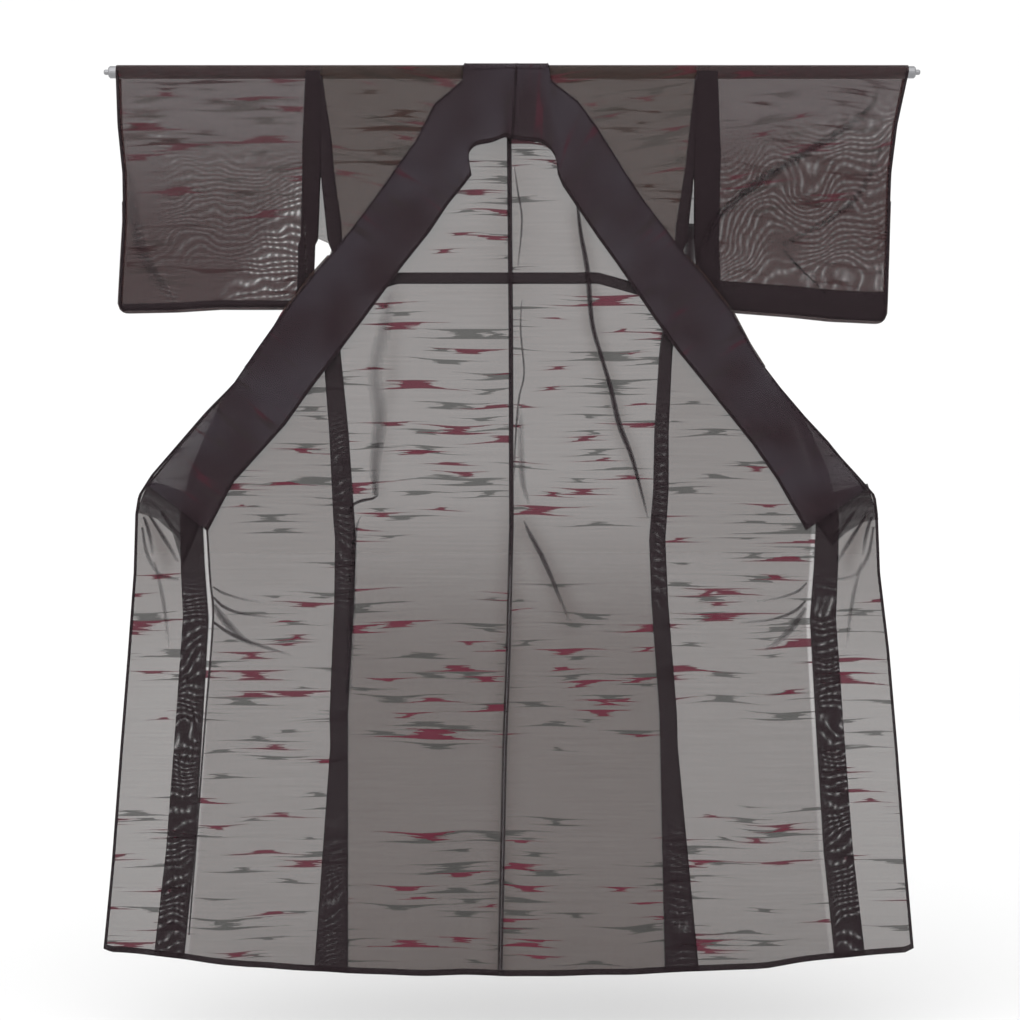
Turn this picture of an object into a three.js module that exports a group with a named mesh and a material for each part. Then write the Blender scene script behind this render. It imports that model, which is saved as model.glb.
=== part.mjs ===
// Sheer unlined kimono, hung open over a round rod so that its front spreads to both sides.
// Millimetres, +Z up, the viewer looks along +Y and +X is the viewer's right.
// The origin is the middle of the rod's axis, where the rod is held. "Drop" is the distance
// below that axis, and a negative drop is the way up and over the rod to its far side.
import * as THREE from 'three';
import { mergeVertices } from 'three/addons/utils/BufferGeometryUtils.js';

// Driving dimensions
const ROD_RADIUS = 11.2;
const ROD_HALF_LENGTH = 686;
const CLOTH = 1.3;              // thickness of a plain wall
const RAISED = 0.7;             // extra thickness of a hem, tuck or seam allowance
const GAP = 0.3;                // clearance between pieces at a seam
const HEM_DROP = 1571;          // drop of the hem at the centre-back seam
const HEM_TURNING = 11;
const TUCK_DROP = 347;
const TUCK_HEIGHT = 20;
const CUFF_DROP = 222;          // lower end of the open cuff
const COLLAR_DROP = 318;        // where the opened front starts to fold back
const FOLD_END_DROP = 511;
const FOLD_RADIUS = 4.4;
const HANG_DROP = 415;          // the walls draw together as far down as this
const HANG_HALF_DEPTH = 4.2;
const STEP = 1.6;               // width of the slope up to a raised band

const SHOULDER_RADIUS = ROD_RADIUS + GAP + CLOTH / 2;
const COLLAR_RADIUS = SHOULDER_RADIUS + CLOTH + 4 * GAP;

// Each row: drop, then the edge's x on the left and on the right side of the kimono.
// Armhole seam down to the underarm, then the body's free underarm edge and the side seam.
const BODY_SIDE = [
  { drop: 0, left: -332, right: 320 }, { drop: 174, left: -332, right: 316 },
  { drop: 290, left: -320, right: 304 }, { drop: 318, left: -310, right: 294 },
  { drop: 396, left: -302, right: 271 }, { drop: 483, left: -299, right: 257 },
  { drop: 625, left: -285, right: 248 },
  { drop: 726, left: -278, right: 246 }, { drop: 812, left: -272, right: 239 },
  { drop: 920, left: -275, right: 243 }, { drop: 1115, left: -286, right: 257 },
  { drop: 1571, left: -286, right: 267 },
];
// The back stays beside the sleeve's inner edge down to the underarm, then steps in.
const BACK_SIDE = [
  { drop: 0, left: -332, right: 320 }, { drop: 174, left: -332, right: 316 },
  { drop: 288, left: -338, right: 317 }, { drop: 298, left: -319, right: 302 },
];
// Centre-back seam, one line for both sides.
const CENTRE_BACK = [
  { drop: 0, left: -6, right: -6 }, { drop: 448, left: -2, right: -2 },
  { drop: 786, left: -1, right: -1 }, { drop: 1023, left: -7, right: -7 },
  { drop: 1177, left: -13, right: -13 }, { drop: 1571, left: -21, right: -21 },
];
// Front neckline from the shoulder, then the hidden edge of the folded front below it.
const NECKLINE = [
  { drop: 0, left: -84, right: 62 }, { drop: 20, left: -88, right: 68 },
  { drop: 57, left: -136, right: 119 }, { drop: 122, left: -171, right: 165 },
  { drop: 165, left: -202, right: 192 }, { drop: 273, left: -236, right: 232 },
  { drop: 360, left: -276, right: 276 }, { drop: 511, left: -432, right: 420 },
];
// Outer fold of the opened front, from the underarm to the top of the overlap panel.
const FOLD = [
  { drop: 318, left: -316, right: 300 }, { drop: 349, left: -344, right: 329 },
  { drop: 415, left: -395, right: 381 }, { drop: 472, left: -428, right: 411 },
  { drop: 511, left: -460, right: 436 },
];
// Seam between the front and the overlap panel.
const OVERLAP_SEAM = [
  { drop: 511, left: -455, right: 431 }, { drop: 585, left: -499, right: 486 },
  { drop: 691, left: -531, right: 522 }, { drop: 779, left: -539, right: 530 },
  { drop: 866, left: -535, right: 526 }, { drop: 960, left: -528, right: 519 },
  { drop: 1177, left: -540, right: 531 }, { drop: 1377, left: -552, right: 543 },
  { drop: 1571, left: -571, right: 562 },
];
// Free front edge: the slanted collar seam down to the clipped corner, then straight down.
const FRONT_EDGE = [
  { drop: 511, left: -465, right: 442 }, { drop: 611, left: -549, right: 518 },
  { drop: 705, left: -627, right: 600 }, { drop: 743, left: -650, right: 632 },
  { drop: 776, left: -655, right: 636 }, { drop: 882, left: -658, right: 640 },
  { drop: 1023, left: -668, right: 656 }, { drop: 1208, left: -682, right: 671 },
  { drop: 1408, left: -696, right: 685 }, { drop: 1571, left: -710, right: 698 },
];
const SLEEVE_OUTER = [
  { drop: 0, left: -686, right: 687 }, { drop: 94, left: -683, right: 667 },
  { drop: 177, left: -675, right: 657 }, { drop: 260, left: -674, right: 654 },
  { drop: 399, left: -682, right: 650 }, { drop: 440, left: -684, right: 648 },
];
const SLEEVE_INNER = [
  { drop: 0, left: -332, right: 320 }, { drop: 174, left: -332, right: 316 },
  { drop: 288, left: -338, right: 317 }, { drop: 298, left: -343, right: 318 },
  { drop: 349, left: -345, right: 322 }, { drop: 440, left: -350, right: 330 },
];
// Each row: distance along the bottom from the outer edge, and its drop on both sides.
const SLEEVE_BOTTOM = [
  { along: 0, left: 419, right: 437 }, { along: 90, left: 417, right: 433 },
  { along: 170, left: 412, right: 425 }, { along: 340, left: 411, right: 412 },
];
const SLEEVE_CORNER = 19;
// Each row: distance out from the centre line, and the drop of the hem there.
const HEM = [
  { out: 0, drop: 1571 }, { out: 280, drop: 1566 }, { out: 450, drop: 1555 },
  { out: 560, drop: 1541 }, { out: 690, drop: 1529 }, { out: 710, drop: 1519 },
];
// Widths of the seam allowances that show as darker bands beside a seam.
const SIDE_ALLOWANCE = [
  { drop: 318, left: 26, right: 20 }, { drop: 519, left: 30, right: 22 },
  { drop: 779, left: 36, right: 27 }, { drop: 1177, left: 30, right: 30 },
  { drop: 1571, left: 58, right: 58 },
];
const OVERLAP_ALLOWANCE = [
  { drop: 511, left: 3, right: 3 }, { drop: 779, left: 38, right: 38 },
  { drop: 960, left: 44, right: 44 }, { drop: 1571, left: 52, right: 52 },
];
const CENTRE_ALLOWANCE = 8;

// Collar stations from the lower end up to the back of the neck. "seam" is the edge sewn to
// the body and "free" is the open edge, each with its x (out) and its drop.
const COLLAR = {
  left: [
    { seamX: -633, seamDrop: 716, freeX: -528, freeDrop: 797 },
    { seamX: -571, seamDrop: 641, freeX: -484, freeDrop: 713 },
    { seamX: -526, seamDrop: 588, freeX: -436, freeDrop: 660 },
    { seamX: -481, seamDrop: 539, freeX: -392, freeDrop: 611 },
    { seamX: -438, seamDrop: 476, freeX: -348, freeDrop: 549 },
    { seamX: -396, seamDrop: 417, freeX: -303, freeDrop: 490 },
    { seamX: -352, seamDrop: 361, freeX: -258, freeDrop: 430 },
    { seamX: -312, seamDrop: 315, freeX: -219, freeDrop: 377 },
    { seamX: -277, seamDrop: 272, freeX: -189, freeDrop: 336 },
    { seamX: -236, seamDrop: 218, freeX: -143, freeDrop: 279 },
    { seamX: -199, seamDrop: 165, freeX: -111, freeDrop: 231 },
    { seamX: -166, seamDrop: 120, freeX: -83, freeDrop: 197 },
    { seamX: -134, seamDrop: 57, freeX: -70, freeDrop: 180 },
    { seamX: -86, seamDrop: 18, freeX: -74, freeDrop: 158 },
    { seamX: -85, seamDrop: 0, freeX: -76, freeDrop: 148 },
    { seamX: -84, seamDrop: -8, freeX: -74, freeDrop: 141 },
    { seamX: -83, seamDrop: -16, freeX: -69, freeDrop: 134 },
    { seamX: -82, seamDrop: -24, freeX: -62, freeDrop: 129 },
    { seamX: -80, seamDrop: -31, freeX: -54, freeDrop: 127 },
    { seamX: -50, seamDrop: -31, freeX: -36, freeDrop: 124 },
    { seamX: -8, seamDrop: -31, freeX: -13, freeDrop: 115 },
  ],
  right: [
    { seamX: 615, seamDrop: 724, freeX: 510, freeDrop: 795 },
    { seamX: 548, seamDrop: 641, freeX: 460, freeDrop: 708 },
    { seamX: 507, seamDrop: 597, freeX: 417, freeDrop: 646 },
    { seamX: 466, seamDrop: 549, freeX: 374, freeDrop: 592 },
    { seamX: 424, seamDrop: 494, freeX: 330, freeDrop: 537 },
    { seamX: 383, seamDrop: 419, freeX: 286, freeDrop: 483 },
    { seamX: 336, seamDrop: 358, freeX: 246, freeDrop: 427 },
    { seamX: 296, seamDrop: 313, freeX: 210, freeDrop: 374 },
    { seamX: 260, seamDrop: 266, freeX: 180, freeDrop: 331 },
    { seamX: 226, seamDrop: 221, freeX: 148, freeDrop: 287 },
    { seamX: 188, seamDrop: 163, freeX: 113, freeDrop: 236 },
    { seamX: 148, seamDrop: 99, freeX: 88, freeDrop: 199 },
    { seamX: 114, seamDrop: 53, freeX: 79, freeDrop: 178 },
    { seamX: 66, seamDrop: 16, freeX: 77, freeDrop: 156 },
    { seamX: 65, seamDrop: 0, freeX: 74, freeDrop: 147 },
    { seamX: 64, seamDrop: -8, freeX: 69, freeDrop: 139 },
    { seamX: 63, seamDrop: -16, freeX: 62, freeDrop: 132 },
    { seamX: 62, seamDrop: -24, freeX: 54, freeDrop: 126 },
    { seamX: 60, seamDrop: -31, freeX: 44, freeDrop: 123 },
    { seamX: 30, seamDrop: -31, freeX: 18, freeDrop: 121 },
  ],
};

// Slow waves of the hanging cloth: wavelength across, phase, share of the swing.
const WAVES = [
  { length: 310, phase: 0.6, share: 0.5 },
  { length: 190, phase: 2.1, share: 0.32 },
  { length: 118, phase: 4.4, share: 0.18 },
];
const HEM_SWING = 9;

const lerp = THREE.MathUtils.lerp;
const smooth = (value, from, to) => THREE.MathUtils.smoothstep(value, from, to);

// Value of one named column of a table at a place along its key column.
function read(table, key, at, column) {
  if (at <= table[0][key]) return table[0][column];
  for (let row = 1; row < table.length; row += 1) {
    const low = table[row - 1];
    const high = table[row];
    if (at <= high[key]) {
      return lerp(low[column], high[column], (at - low[key]) / (high[key] - low[key]));
    }
  }
  return table[table.length - 1][column];
}

const edge = (table, side) => (drop) => read(table, 'drop', drop, side);

// Half the distance between the front and back walls, which draw together below the rod.
function halfDepth(drop, radius) {
  return lerp(radius, HANG_HALF_DEPTH, Math.min(Math.max(drop, 0) / HANG_DROP, 1));
}

function wave(x, drop) {
  const swing = HEM_SWING * smooth(drop, 330, HEM_DROP);
  let sum = 0;
  for (const { length, phase, share } of WAVES) {
    sum += share * Math.sin((2 * Math.PI * x) / length + phase + drop / 900);
  }
  return swing * sum;
}

// Depth of the long sheet that hangs behind: back, opened fronts and overlap panels.
const sheetDepth = (x, drop) => halfDepth(drop, SHOULDER_RADIUS) + wave(x, drop);
const frontDepth = (drop) => -halfDepth(drop, SHOULDER_RADIUS);

// Point on cloth laid over the rod: a negative drop wraps round it from front to back.
function overRod(x, drop, radius) {
  const angle = Math.max(-drop, 0) / radius;
  return new THREE.Vector3(x, -radius * Math.cos(angle), radius * Math.sin(angle));
}

const TOP_DROP = -SHOULDER_RADIUS * Math.PI / 2;

// Evenly spaced numbers from one value to another, both included.
function spread(from, to, steps) {
  return Array.from({ length: steps + 1 }, (_, index) => lerp(from, to, index / steps));
}

// One closed wall from patches of middle-surface points. Each point has `inner` and `outer`,
// the thickness on either side; patches that share points are joined along them.
function clothWall(patches, mirrored) {
  const points = [];
  const index = new Map();
  const faces = [];
  const pointId = (point) => {
    const key = [point.at.x, point.at.y, point.at.z].map((v) => v.toFixed(3)).join();
    if (!index.has(key)) {
      index.set(key, points.length);
      points.push({ ...point, normal: new THREE.Vector3() });
    }
    return index.get(key);
  };
  for (const grid of patches) {
    const ids = grid.map((row) => row.map(pointId));
    for (let i = 0; i + 1 < ids.length; i += 1) {
      for (let j = 0; j + 1 < ids[i].length; j += 1) {
        const corners = [ids[i][j], ids[i + 1][j], ids[i + 1][j + 1], ids[i][j + 1]];
        const straight = points[corners[0]].at.distanceToSquared(points[corners[2]].at)
          <= points[corners[1]].at.distanceToSquared(points[corners[3]].at);
        const halves = straight
          ? [[0, 1, 2], [0, 2, 3]]
          : [[0, 1, 3], [1, 2, 3]];
        for (const half of halves) {
          const face = half.map((corner) => corners[corner]);
          if (new Set(face).size === 3) faces.push(mirrored ? face.reverse() : face);
        }
      }
    }
  }
  for (const face of faces) {
    const [a, b, c] = face.map((id) => points[id].at);
    const normal = b.clone().sub(a).cross(c.clone().sub(a));
    for (const id of face) points[id].normal.add(normal);
  }
  const positions = [];
  const place = ({ at, normal }, distance) => {
    positions.push(...at.clone().addScaledVector(normal, distance).toArray());
  };
  points.forEach((point) => point.normal.normalize());
  points.forEach((point) => place(point, point.inner));
  points.forEach((point) => place(point, -point.outer));
  const count = points.length;
  const triangles = [];
  const open = new Map();
  for (const [a, b, c] of faces) {
    triangles.push(a, b, c, count + a, count + c, count + b);
    for (const [from, to] of [[a, b], [b, c], [c, a]]) {
      if (!open.delete(`${to},${from}`)) open.set(`${from},${to}`, [from, to]);
    }
  }
  for (const [from, to] of open.values()) {
    triangles.push(to, from, count + from, to, count + from, count + to);
  }
  const geometry = new THREE.BufferGeometry();
  geometry.setAttribute('position', new THREE.Float32BufferAttribute(positions, 3));
  geometry.setIndex(triangles);
  return geometry;
}

const plain = (at, inner = CLOTH / 2) => ({ at, inner, outer: CLOTH / 2 });

// Columns across a panel: even steps, then a short slope up to a band along the far edge.
function columns(from, to, steps, band) {
  const towards = Math.sign(to - from);
  const bandStart = to - towards * band;
  return [...spread(from, bandStart - towards * STEP, steps), bandStart, to];
}

// Drops of the rows of the long sheet, with close pairs at the tuck and the hem turning.
function sheetRows(start) {
  const rows = [
    ...(start < 100 ? [...spread(start, 288, 4), 298] : [start]), TUCK_DROP - STEP, TUCK_DROP,
    TUCK_DROP + TUCK_HEIGHT, TUCK_DROP + TUCK_HEIGHT + STEP,
    ...spread(415, FOLD_END_DROP, 2), ...spread(FOLD_END_DROP, 960, 8).slice(1),
    ...spread(960, HEM_DROP - HEM_TURNING - STEP, 9).slice(1),
    HEM_DROP - HEM_TURNING, HEM_DROP,
  ];
  return rows;
}

// The level rows are bent to the hem's real outline as they near the bottom.
function levelToDrop(level, x) {
  const hem = read(HEM, 'out', Math.abs(x + 7), 'drop');
  const share = THREE.MathUtils.clamp((level - FOLD_END_DROP) / (HEM_DROP - FOLD_END_DROP), 0, 1);
  return level + (hem - HEM_DROP) * share;
}

const inTuck = (level) => level >= TUCK_DROP && level <= TUCK_DROP + TUCK_HEIGHT;
const inHem = (level) => level >= HEM_DROP - HEM_TURNING;

// Middle-surface point of the long sheet, raised on its inside where cloth is doubled.
function sheetPoint(x, level, doubled) {
  const drop = levelToDrop(level, x);
  const raised = doubled || inTuck(level) || inHem(level) ? RAISED : 0;
  return plain(new THREE.Vector3(x, sheetDepth(x, drop), -drop), CLOTH / 2 + raised);
}

// Body panel of one side: back, over the rod, front, and the front's opened-out part.
function bodyPanel(side) {
  const sign = side === 'left' ? -1 : 1;
  const sideX = (drop) => edge(BODY_SIDE, side)(drop) - (sign * GAP) / 2;
  const centreX = (drop) => edge(CENTRE_BACK, side)(drop) + (sign * GAP) / 2;
  const neckX = edge(NECKLINE, side);
  const foldX = edge(FOLD, side);
  const neckSteps = 6;
  const backNeckSteps = 2;

  const shoulderX = (from) => [
    ...spread(sideX(from), neckX(0), neckSteps),
    ...columns(neckX(0), centreX(from), backNeckSteps, CENTRE_ALLOWANCE).slice(1),
  ];
  const back = [];
  for (const drop of spread(TOP_DROP, TOP_DROP * 2, 4)) {
    back.push(shoulderX(0).map((x) => plain(overRod(x, drop, SHOULDER_RADIUS))));
  }
  for (const level of sheetRows(60)) {
    const share = (neckX(0) - sideX(0)) / (centreX(0) - sideX(0));
    const outer = level < COLLAR_DROP ? edge(BACK_SIDE, side)(level) - (sign * GAP) / 2 : sideX(level);
    const middle = lerp(outer, centreX(level), share);
    const across = [
      ...spread(outer, middle, neckSteps),
      ...columns(middle, centreX(level), backNeckSteps, CENTRE_ALLOWANCE).slice(1),
    ];
    back.push(across.map((x, at) => sheetPoint(x, level, at >= across.length - 2)));
  }

  const foldLevels = sheetRows(COLLAR_DROP).filter((level) => level <= FOLD_END_DROP);
  const front = [];
  for (const drop of spread(TOP_DROP, 0, 4)) {
    front.push(spread(neckX(0), sideX(0), neckSteps)
      .map((x) => plain(overRod(x, drop, SHOULDER_RADIUS))));
  }
  const frontRow = (drop, outer) => spread(neckX(drop), outer, neckSteps)
    .map((x) => plain(new THREE.Vector3(x, frontDepth(drop), -drop)));
  for (const drop of [20, 57, 110, 165, 220, 273]) front.push(frontRow(drop, sideX(drop)));
  for (const level of foldLevels) front.push(frontRow(level, foldX(level)));

  const turn = [];
  const opened = [];
  const foldBack = (level) => frontDepth(level) + 2 * FOLD_RADIUS;
  for (const level of foldLevels) {
    turn.push(spread(0, Math.PI, 6).map((angle) => plain(new THREE.Vector3(
      foldX(level) + sign * FOLD_RADIUS * Math.sin(angle),
      frontDepth(level) + FOLD_RADIUS * (1 - Math.cos(angle)),
      -level,
    ))));
  }
  for (const level of sheetRows(COLLAR_DROP)) {
    const seamX = edge(OVERLAP_SEAM, side)(level) - (sign * GAP) / 2;
    const start = level <= FOLD_END_DROP ? foldX(level) : seamX;
    const end = sideX(level) + sign * GAP;
    const widest = 0.6 * Math.abs(end - start) - STEP;
    const band = Math.min(read(SIDE_ALLOWANCE, 'drop', level, side), widest);
    const across = columns(start, end, 6, band);
    const atFold = 1 - smooth(level, FOLD_END_DROP, FOLD_END_DROP + 90);
    opened.push(across.map((x, at) => {
      const point = sheetPoint(x, level, at >= across.length - 2);
      const nearFold = atFold * (1 - smooth(Math.abs(x - start), 0, Math.abs(end - start)));
      point.at.y = lerp(point.at.y, foldBack(level), nearFold);
      if (at === 0 && level <= FOLD_END_DROP) point.inner = CLOTH / 2;
      return point;
    }));
  }
  return clothWall([back, front, turn, opened], side === 'right');
}

// Overlap panel: a long strip, slanted along the collar at its top.
function overlapPanel(side) {
  const sign = side === 'left' ? -1 : 1;
  const rows = sheetRows(COLLAR_DROP).filter((level) => level > FOLD_END_DROP + 20);
  const grid = rows.map((level) => {
    const seam = edge(OVERLAP_SEAM, side)(level) + sign * GAP / 2;
    const free = edge(FRONT_EDGE, side)(level);
    const widest = 0.5 * Math.abs(free - seam);
    const band = Math.min(read(OVERLAP_ALLOWANCE, 'drop', level, side), widest);
    const across = columns(free, seam, 5, band);
    return across.map((x, at) => sheetPoint(x, level, at >= across.length - 2));
  });
  return clothWall([grid], side === 'right');
}

// Sleeve: a flat bag over the rod, open at the cuff, at the armhole and down its inner edge.
function sleeve(side) {
  const sign = side === 'left' ? -1 : 1;
  const outerX = edge(SLEEVE_OUTER, side);
  const innerX = (drop) => edge(SLEEVE_INNER, side)(drop) + (sign * GAP) / 2;
  const steps = 8;
  const bottomAt = (share) => read(SLEEVE_BOTTOM, 'along', share * 340, side);
  const cornerIn = (below) => {
    const rise = THREE.MathUtils.clamp(SLEEVE_CORNER - below, 0, SLEEVE_CORNER);
    return SLEEVE_CORNER - Math.sqrt(SLEEVE_CORNER ** 2 - rise ** 2);
  };
  const shares = [0, 0.03, 0.15, 0.3, 0.45, 0.6, 0.75, 0.88, 1];
  const levels = [0, 45, 90, 135, 174, CUFF_DROP, 262, 288, 310, 338, 372, 396];
  const lowest = 440;
  // Pushed back where the opened front passes before the sleeve's lower inner corner.
  const pushed = (share, drop) => 13 * smooth(share, 0.1, 0.85) * smooth(drop, 190, 330);
  const wallPoint = (share, drop, face, below, squeeze) => {
    const x = lerp(outerX(drop) - sign * cornerIn(below), innerX(drop), share);
    const ripple = 1.6 * Math.sin(share * 9 + drop / 70) * smooth(drop, 60, 250) * (1 - share);
    const depth = halfDepth(drop, SHOULDER_RADIUS) * squeeze;
    return plain(new THREE.Vector3(x, face * depth + pushed(share, drop) + ripple, -drop));
  };
  const down = (face) => levels.map((level) => shares.map((share) => {
    const drop = level * (1 - (lowest - 12 - bottomAt(share)) / lowest * (level > 200 ? 1 : 0));
    return wallPoint(share, drop, face, bottomAt(share) - drop, 1);
  }));
  const frontWall = down(-1);
  const backWall = down(1);
  const round = spread(0, Math.PI, 4).slice(1, -1);
  const bottom = round.map((angle) => shares.map((share) => {
    const start = bottomAt(share) - HANG_HALF_DEPTH;
    const drop = start + HANG_HALF_DEPTH * Math.sin(angle);
    return wallPoint(share, drop, -Math.cos(angle), bottomAt(share) - drop, 1);
  }));
  const over = spread(0, 2 * TOP_DROP, 8).slice(1, -1)
    .map((drop) => shares.map((share) => plain(overRod(
      lerp(outerX(0), innerX(0), share),
      drop,
      SHOULDER_RADIUS,
    ))));
  const loop = [...over.slice().reverse(), ...frontWall, ...bottom, ...backWall.slice().reverse()];
  loop.push(loop[0]);
  const closed = levels.filter((level) => level >= CUFF_DROP);
  const first = levels.length - closed.length;
  const outerEdge = closed.map((_, row) => {
    const front = frontWall[first + row][0];
    const behind = backWall[first + row][0];
    const middle = front.at.clone().add(behind.at).multiplyScalar(0.5);
    middle.x += sign * 2.4;
    return [behind, plain(middle), front];
  });
  outerEdge.push([bottom[2][0], bottom[1][0], bottom[0][0]]);
  return clothWall([loop, outerEdge], side === 'right');
}

// Collar: one long ribbon, laid over the rod at the back of the neck.
function collar() {
  const overSteps = 5;
  const hangSteps = 4;
  const stations = [...COLLAR.left, ...COLLAR.right.slice().reverse()];
  const grid = stations.map(({ seamX, seamDrop, freeX, freeDrop }) => {
    const even = overSteps / (overSteps + hangSteps);
    const turn = seamDrop < 0 ? -seamDrop / (freeDrop - seamDrop) : even;
    const shares = [...spread(0, turn, overSteps), ...spread(turn, 1, hangSteps).slice(1)];
    return shares.map((share) => {
      const drop = lerp(seamDrop, freeDrop, share);
      const x = lerp(seamX, freeX, share);
      if (drop < 0) return plain(overRod(x, drop, COLLAR_RADIUS));
      const before = COLLAR_RADIUS - SHOULDER_RADIUS - 3 * smooth(drop, 520, 780);
      return plain(new THREE.Vector3(x, frontDepth(drop) - before, -drop));
    });
  });
  return clothWall([grid], false);
}

// Plain metal end of the rod: a short cap with a thinner pin.
function rodEnd(sign) {
  const profile = [
    [0, 0], [10.6, 0], [10.6, 11], [8.6, 13.5], [4.6, 14.5], [4.6, 20], [3.2, 22], [0, 22],
  ].map(([radius, along]) => new THREE.Vector2(radius, along));
  const geometry = new THREE.LatheGeometry(profile, 24);
  geometry.rotateZ(sign > 0 ? -Math.PI / 2 : Math.PI / 2);
  geometry.translate(sign * (ROD_HALF_LENGTH + GAP), 0, 0);
  return geometry;
}

function material(color, roughness, metalness) {
  return new THREE.MeshStandardMaterial({ color, roughness, metalness });
}
const clothMaterial = () => material(0x3a2f36, 0.7, 0);
const rodMaterial = material(0x1d1719, 0.4, 0);
const metalMaterial = material(0xc9cacc, 0.25, 1);

const group = new THREE.Group();

function add(name, geometry, material) {
  geometry.deleteAttribute('normal');
  geometry.deleteAttribute('uv');
  const mesh = new THREE.Mesh(mergeVertices(geometry, 1e-4), material);
  mesh.name = name;
  group.add(mesh);
}

const rod = new THREE.CylinderGeometry(ROD_RADIUS, ROD_RADIUS, 2 * ROD_HALF_LENGTH, 28);
rod.rotateZ(Math.PI / 2);
add('rod', rod, rodMaterial);
add('rod_end_left', rodEnd(-1), metalMaterial);
add('rod_end_right', rodEnd(1), metalMaterial);
for (const side of ['left', 'right']) {
  add(`body_${side}`, bodyPanel(side), clothMaterial());
  add(`overlap_${side}`, overlapPanel(side), clothMaterial());
  add(`sleeve_${side}`, sleeve(side), clothMaterial());
}
add('collar', collar(), clothMaterial());

export default group;
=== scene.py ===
"""Sheer unlined kimono with woven streaks, hung open over a dark rod.

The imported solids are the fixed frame. Sizes are in millimetres here and become metres where
a point is placed. Drop is the distance below the rod's axis, and a negative drop goes up and
over the rod to its far side, as on the solids.
"""
import math

import bmesh
import bpy
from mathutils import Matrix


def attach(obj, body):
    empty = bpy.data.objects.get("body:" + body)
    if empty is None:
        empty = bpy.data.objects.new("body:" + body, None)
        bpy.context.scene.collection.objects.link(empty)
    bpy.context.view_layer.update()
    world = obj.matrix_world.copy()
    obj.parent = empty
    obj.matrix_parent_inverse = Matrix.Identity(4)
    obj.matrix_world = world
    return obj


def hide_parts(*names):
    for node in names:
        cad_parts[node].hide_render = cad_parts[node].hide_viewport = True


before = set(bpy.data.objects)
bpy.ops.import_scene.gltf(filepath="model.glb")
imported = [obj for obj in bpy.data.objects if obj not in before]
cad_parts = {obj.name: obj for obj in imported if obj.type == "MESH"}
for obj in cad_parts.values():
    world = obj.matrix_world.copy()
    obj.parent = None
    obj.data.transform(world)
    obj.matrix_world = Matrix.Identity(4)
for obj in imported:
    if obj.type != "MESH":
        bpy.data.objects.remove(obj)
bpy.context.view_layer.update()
scene = bpy.context.scene
scene.view_settings.view_transform = "Standard"
# Sight lines along the cloth cross many sheer layers, and light that bounces twice is enough.
scene.cycles.transparent_max_bounces = 96
scene.cycles.max_bounces = 3
scene.cycles.diffuse_bounces = 1

# Camera: level and square to the rod, at the middle of the photograph's frame. The frame is
# 1.771 m wide at the rod, from 3.5 m away.
FRAME_WIDTH = 1.771
CAMERA_DISTANCE = 3.5
SENSOR_WIDTH = 36
camera_data = bpy.data.cameras.new("camera")
camera_data.sensor_width = SENSOR_WIDTH
camera_data.lens = SENSOR_WIDTH * CAMERA_DISTANCE / FRAME_WIDTH
camera = bpy.data.objects.new("camera", camera_data)
camera.location = (-0.0035, -CAMERA_DISTANCE, -0.760)
camera.rotation_euler = (math.radians(90), 0, 0)
scene.collection.objects.link(camera)
scene.camera = camera


# Body panels: one length of sheer cloth each, from the back hem over the shoulder to the
# front hem, tucked at the waist, with the fronts opened out and folded under the collar.
# This section also holds what all the cloth shares: the hang, the weave and the streaks.
MM = 0.001
CLOTH_WALL = 1.3
SHEER = 0.4
GAP = 0.3
ROD_RADIUS = 11.2
SHOULDER_RADIUS = ROD_RADIUS + GAP + CLOTH_WALL / 2
HANG_DROP = 415  # the walls draw together as far down as this
HANG_HALF_DEPTH = 4.2
HEM_DROP = 1571
HEM_TURNING = 11
HEM_MIDDLE = -7  # x about which the hem's outline is even
ARMHOLE_END = 288
SIDE_SEAM_START = 296
TUCK_DROP = 347
TUCK_HEIGHT = 20
FOLD_TOP = 318
FOLD_END = 511
FOLD_RADIUS = 4.4
TOP_DROP = -SHOULDER_RADIUS * math.pi / 2
WAVES = ((310, 0.6, 0.5), (190, 2.1, 0.32), (118, 4.4, 0.18))  # length, phase, share
HEM_SWING = 9
SIGN = {"left": -1, "right": 1}
ROW_STEP = 9  # between rows of the mesh down the hang
FOLD_STEP = 8  # and down the front's fold
ROD_STEP = 3.2  # and round the rod
SEAM_LIFT = 0.85  # how far a doubled strip stands before its sheet
BAND_END = HEM_DROP - 0.5
HEM_ROWS = (HEM_DROP - HEM_TURNING, HEM_DROP - HEM_TURNING / 2, BAND_END)
MERGE_DISTANCE = 0.00002
# Where each layer lies along the weave, so that no two show the same streaks.
FOLDED_FRONT_PLACE = 4000
OPENED_FRONT_PLACE = 2500
FADED = -0.5  # a ripple value below nought marks a layer whose streaks look faded

# Each row: drop, x on the left, x on the right.
BODY_SIDE = (
    (0, -332, 320), (174, -332, 316), (290, -320, 304), (318, -310, 294), (396, -302, 271),
    (483, -299, 257), (625, -285, 248), (726, -278, 246), (812, -272, 239), (920, -275, 243),
    (1115, -286, 257), (1571, -286, 267),
)
BACK_SIDE = ((0, -332, 320), (174, -332, 316), (288, -338, 317), (296, -320, 303), (318, -310, 294))
CENTRE_BACK = (
    (0, -6, -6), (448, -2, -2), (786, -1, -1), (1023, -7, -7), (1177, -13, -13),
    (1571, -21, -21),
)
NECKLINE = (
    (0, -84, 62), (20, -88, 68), (57, -136, 119), (122, -171, 165), (165, -202, 192),
    (273, -236, 232), (360, -276, 276), (511, -432, 420),
)
FOLD = ((318, -316, 300), (349, -344, 329), (415, -395, 381), (472, -428, 411), (511, -460, 436))
OVERLAP_SEAM = (
    (511, -455, 431), (585, -499, 486), (691, -531, 522), (779, -539, 530), (866, -535, 526),
    (960, -528, 519), (1177, -540, 531), (1377, -552, 543), (1571, -571, 562),
)
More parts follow.
